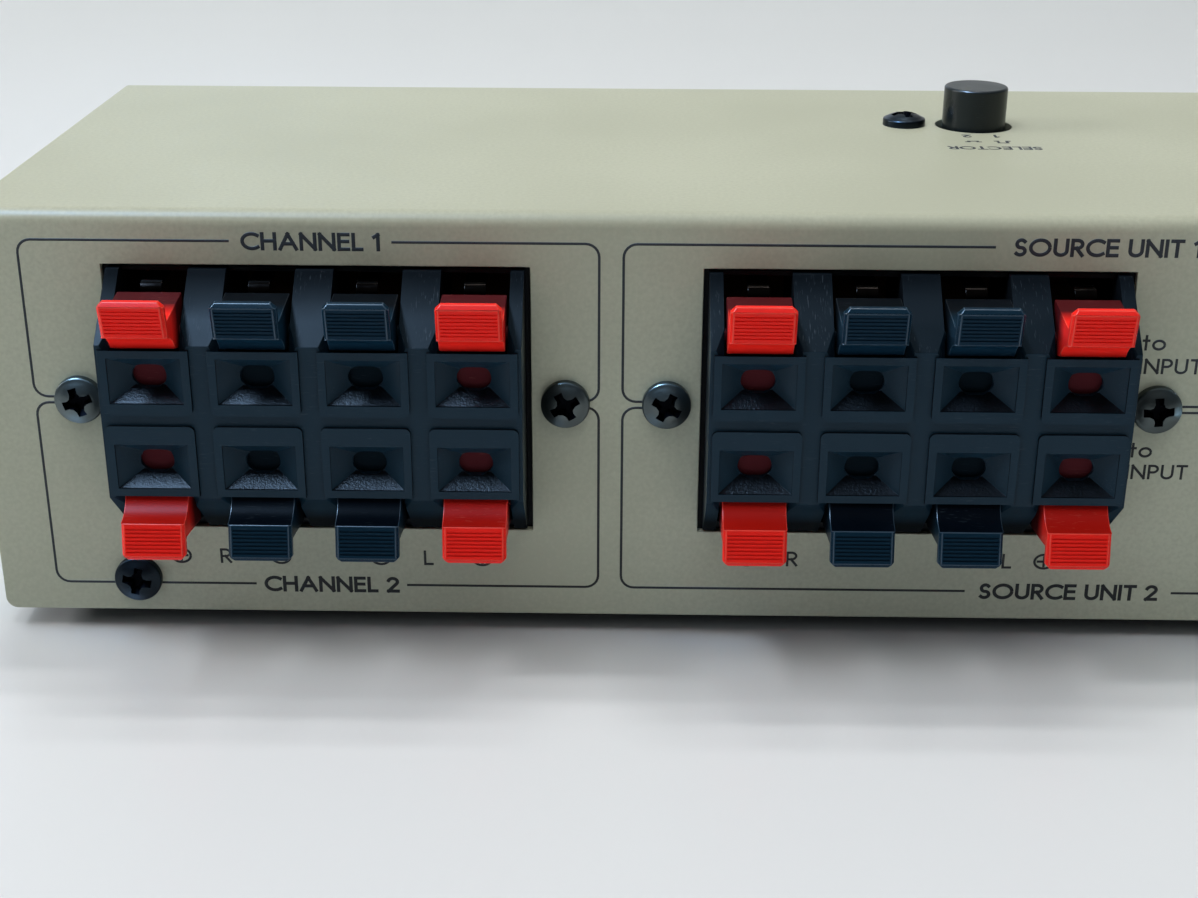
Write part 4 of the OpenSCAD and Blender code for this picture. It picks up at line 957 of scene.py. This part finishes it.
# The other nodes, most of them inside, keep their own mesh and take a finish
finishes = {
    "base_plate": blackEnamel, "foot_screws": zincPlate, "terminal_nuts": zincPlate,
    "terminal_back_1": phenolicBoard, "terminal_back_2": phenolicBoard, "switch_bracket": zincPlate,
    "switch_pin_bases": phenolicBoard, "jack_plates": phenolicBoard, "jack_contacts": nickelPlate,
}
for i in (1, 2):
    finishes[f"plunger_{i}"] = nylon
    finishes[f"switch_body_{i}"] = phenolicBody
for node, material in finishes.items():
    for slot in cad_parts[node].material_slots:
        slot.material = material
print("stage: finishes")


# Studio: a pale laminate sweep under and behind the object, smooth enough to mirror it faintly, and painted
# a little darker further back as painted shade; metres
stageLook = {
    "colour": "#e4e6e7", "behind": "#dadcdb", "fade": (0.1, 0.45), "roughness": 0.32,
    "front": -4.0, "back": 1.2, "rise": 1.2, "bend": 0.5, "bendSteps": 12, "half": 2.2,
}


def makeSweep(look):
    bend, bendY = look["bend"], look["back"] - look["bend"]
    profile = [(look["front"], 0.0), (bendY, 0.0)]
    for step in range(look["bendSteps"]):
        a = math.radians(90 * (step + 1) / look["bendSteps"])
        profile.append((bendY + bend * math.sin(a), bend * (1 - math.cos(a))))
    profile.append((look["back"], look["rise"]))
    places = [(x, y, z) for y, z in profile for x in (-look["half"], look["half"])]
    faces = [(2 * i, 2 * i + 1, 2 * i + 3, 2 * i + 2) for i in range(len(profile) - 1)]
    mesh = bpy.data.meshes.new("sweep")
    mesh.from_pydata(places, [], faces)
    for face in mesh.polygons:
        face.use_smooth = True
    sweep = newObject("sweep", mesh)
    material, tree, shader, where = startMaterial("paleLaminate", Roughness=look["roughness"])
    # Painted shade: the laminate turns darker further back
    place = addNode(tree, "ShaderNodeSeparateXYZ", {"Vector": where})
    start, end = look["fade"]
    fade = addNode(tree, "ShaderNodeMapRange", {
        "Value": place.outputs["Y"], "From Min": start, "From Max": end,
    })
    colour = addNode(tree, "ShaderNodeMix", {
        "Factor": fade.outputs["Result"], "A": srgb(look["colour"]), "B": srgb(look["behind"]),
    }, data_type="RGBA")
    tree.links.new(colour.outputs["Result"], shader.inputs["Base Color"])
    mesh.materials.append(material)


# Place, aim and size are in metres; sheen lamps are seen in reflections, diffuse ones light the colours
lamps = {
    "window": {"place": (-1.5, 0.0, 0.55), "aim": (0.0, -0.05, 0.0), "size": (0.6, 0.25), "watts": 8.6},
    "left": {"place": (-0.75, -0.05, 1.5), "aim": (0.0, -0.05, 0.0), "size": (1.0, 0.1), "watts": 5.0},
    "front": {"place": (0.05, -0.65, 1.5), "aim": (0.05, -0.05, 0.0), "size": (1.4, 0.5), "watts": 5.0,
              "sheen": False},
    # Bluish sheen on slopes that face up and to the left, which fades along the terminals
    "sheen": {"place": (-0.76, -0.4, 1.5), "aim": (-0.76, -0.05, 0.0), "size": (0.3, 0.6), "watts": 115.0,
              "diffuse": False, "colour": "#a8d2ff"},
    # Two rows of ceiling light behind the case, for the steps in its shadow
    "near": {"place": (0.06, 0.26, 1.5), "aim": (0.06, 0.0, 0.0), "size": (0.6, 0.06), "watts": 3.9},
    "far": {"place": (0.06, 0.43, 1.5), "aim": (0.06, 0.0, 0.0), "size": (0.6, 0.06), "watts": 3.8},
}


def makeLamps(looks):
    for name, look in looks.items():
        data = bpy.data.lights.new(name, "AREA")
        data.shape = "RECTANGLE"
        data.size, data.size_y = look["size"]
        data.energy = look["watts"]
        data.color = srgb(look.get("colour", "#ffffff"))[:3]
        lamp = bpy.data.objects.new(name, data)
        lamp.location = look["place"]
        beam = Vector(look["aim"]) - Vector(look["place"])
        lamp.rotation_euler = beam.to_track_quat("-Z", "Y").to_euler()
        lamp.visible_glossy = look.get("sheen", True)
        lamp.visible_diffuse = look.get("diffuse", True)
        bpy.context.scene.collection.objects.link(lamp)


# The room's own light is weak low down and stronger overhead; it rises above the height from
roomLook = {"colour": "#e6edf3", "from": 0.1, "low": 0.02, "high": 0.5}


def makeWorld(look):
    world = bpy.data.worlds.new("softRoom")
    world.use_nodes = True
    tree = world.node_tree
    tree.nodes.clear()
    way = addNode(tree, "ShaderNodeTexCoord").outputs["Generated"]
    height = addNode(tree, "ShaderNodeSeparateXYZ", {"Vector": way})
    glow = addNode(tree, "ShaderNodeMapRange", {
        "Value": height.outputs["Z"], "From Min": look["from"], "To Min": look["low"], "To Max": look["high"],
    }, interpolation_type="SMOOTHSTEP")
    sky = addNode(tree, "ShaderNodeBackground", {
        "Color": srgb(look["colour"]), "Strength": glow.outputs["Result"],
    })
    addNode(tree, "ShaderNodeOutputWorld", {"Surface": sky.outputs["Background"]})
    bpy.context.scene.world = world


makeSweep(stageLook)
makeLamps(lamps)
makeWorld(roomLook)
bpy.context.scene.view_settings.view_transform = "Standard"
print("stage: studio")
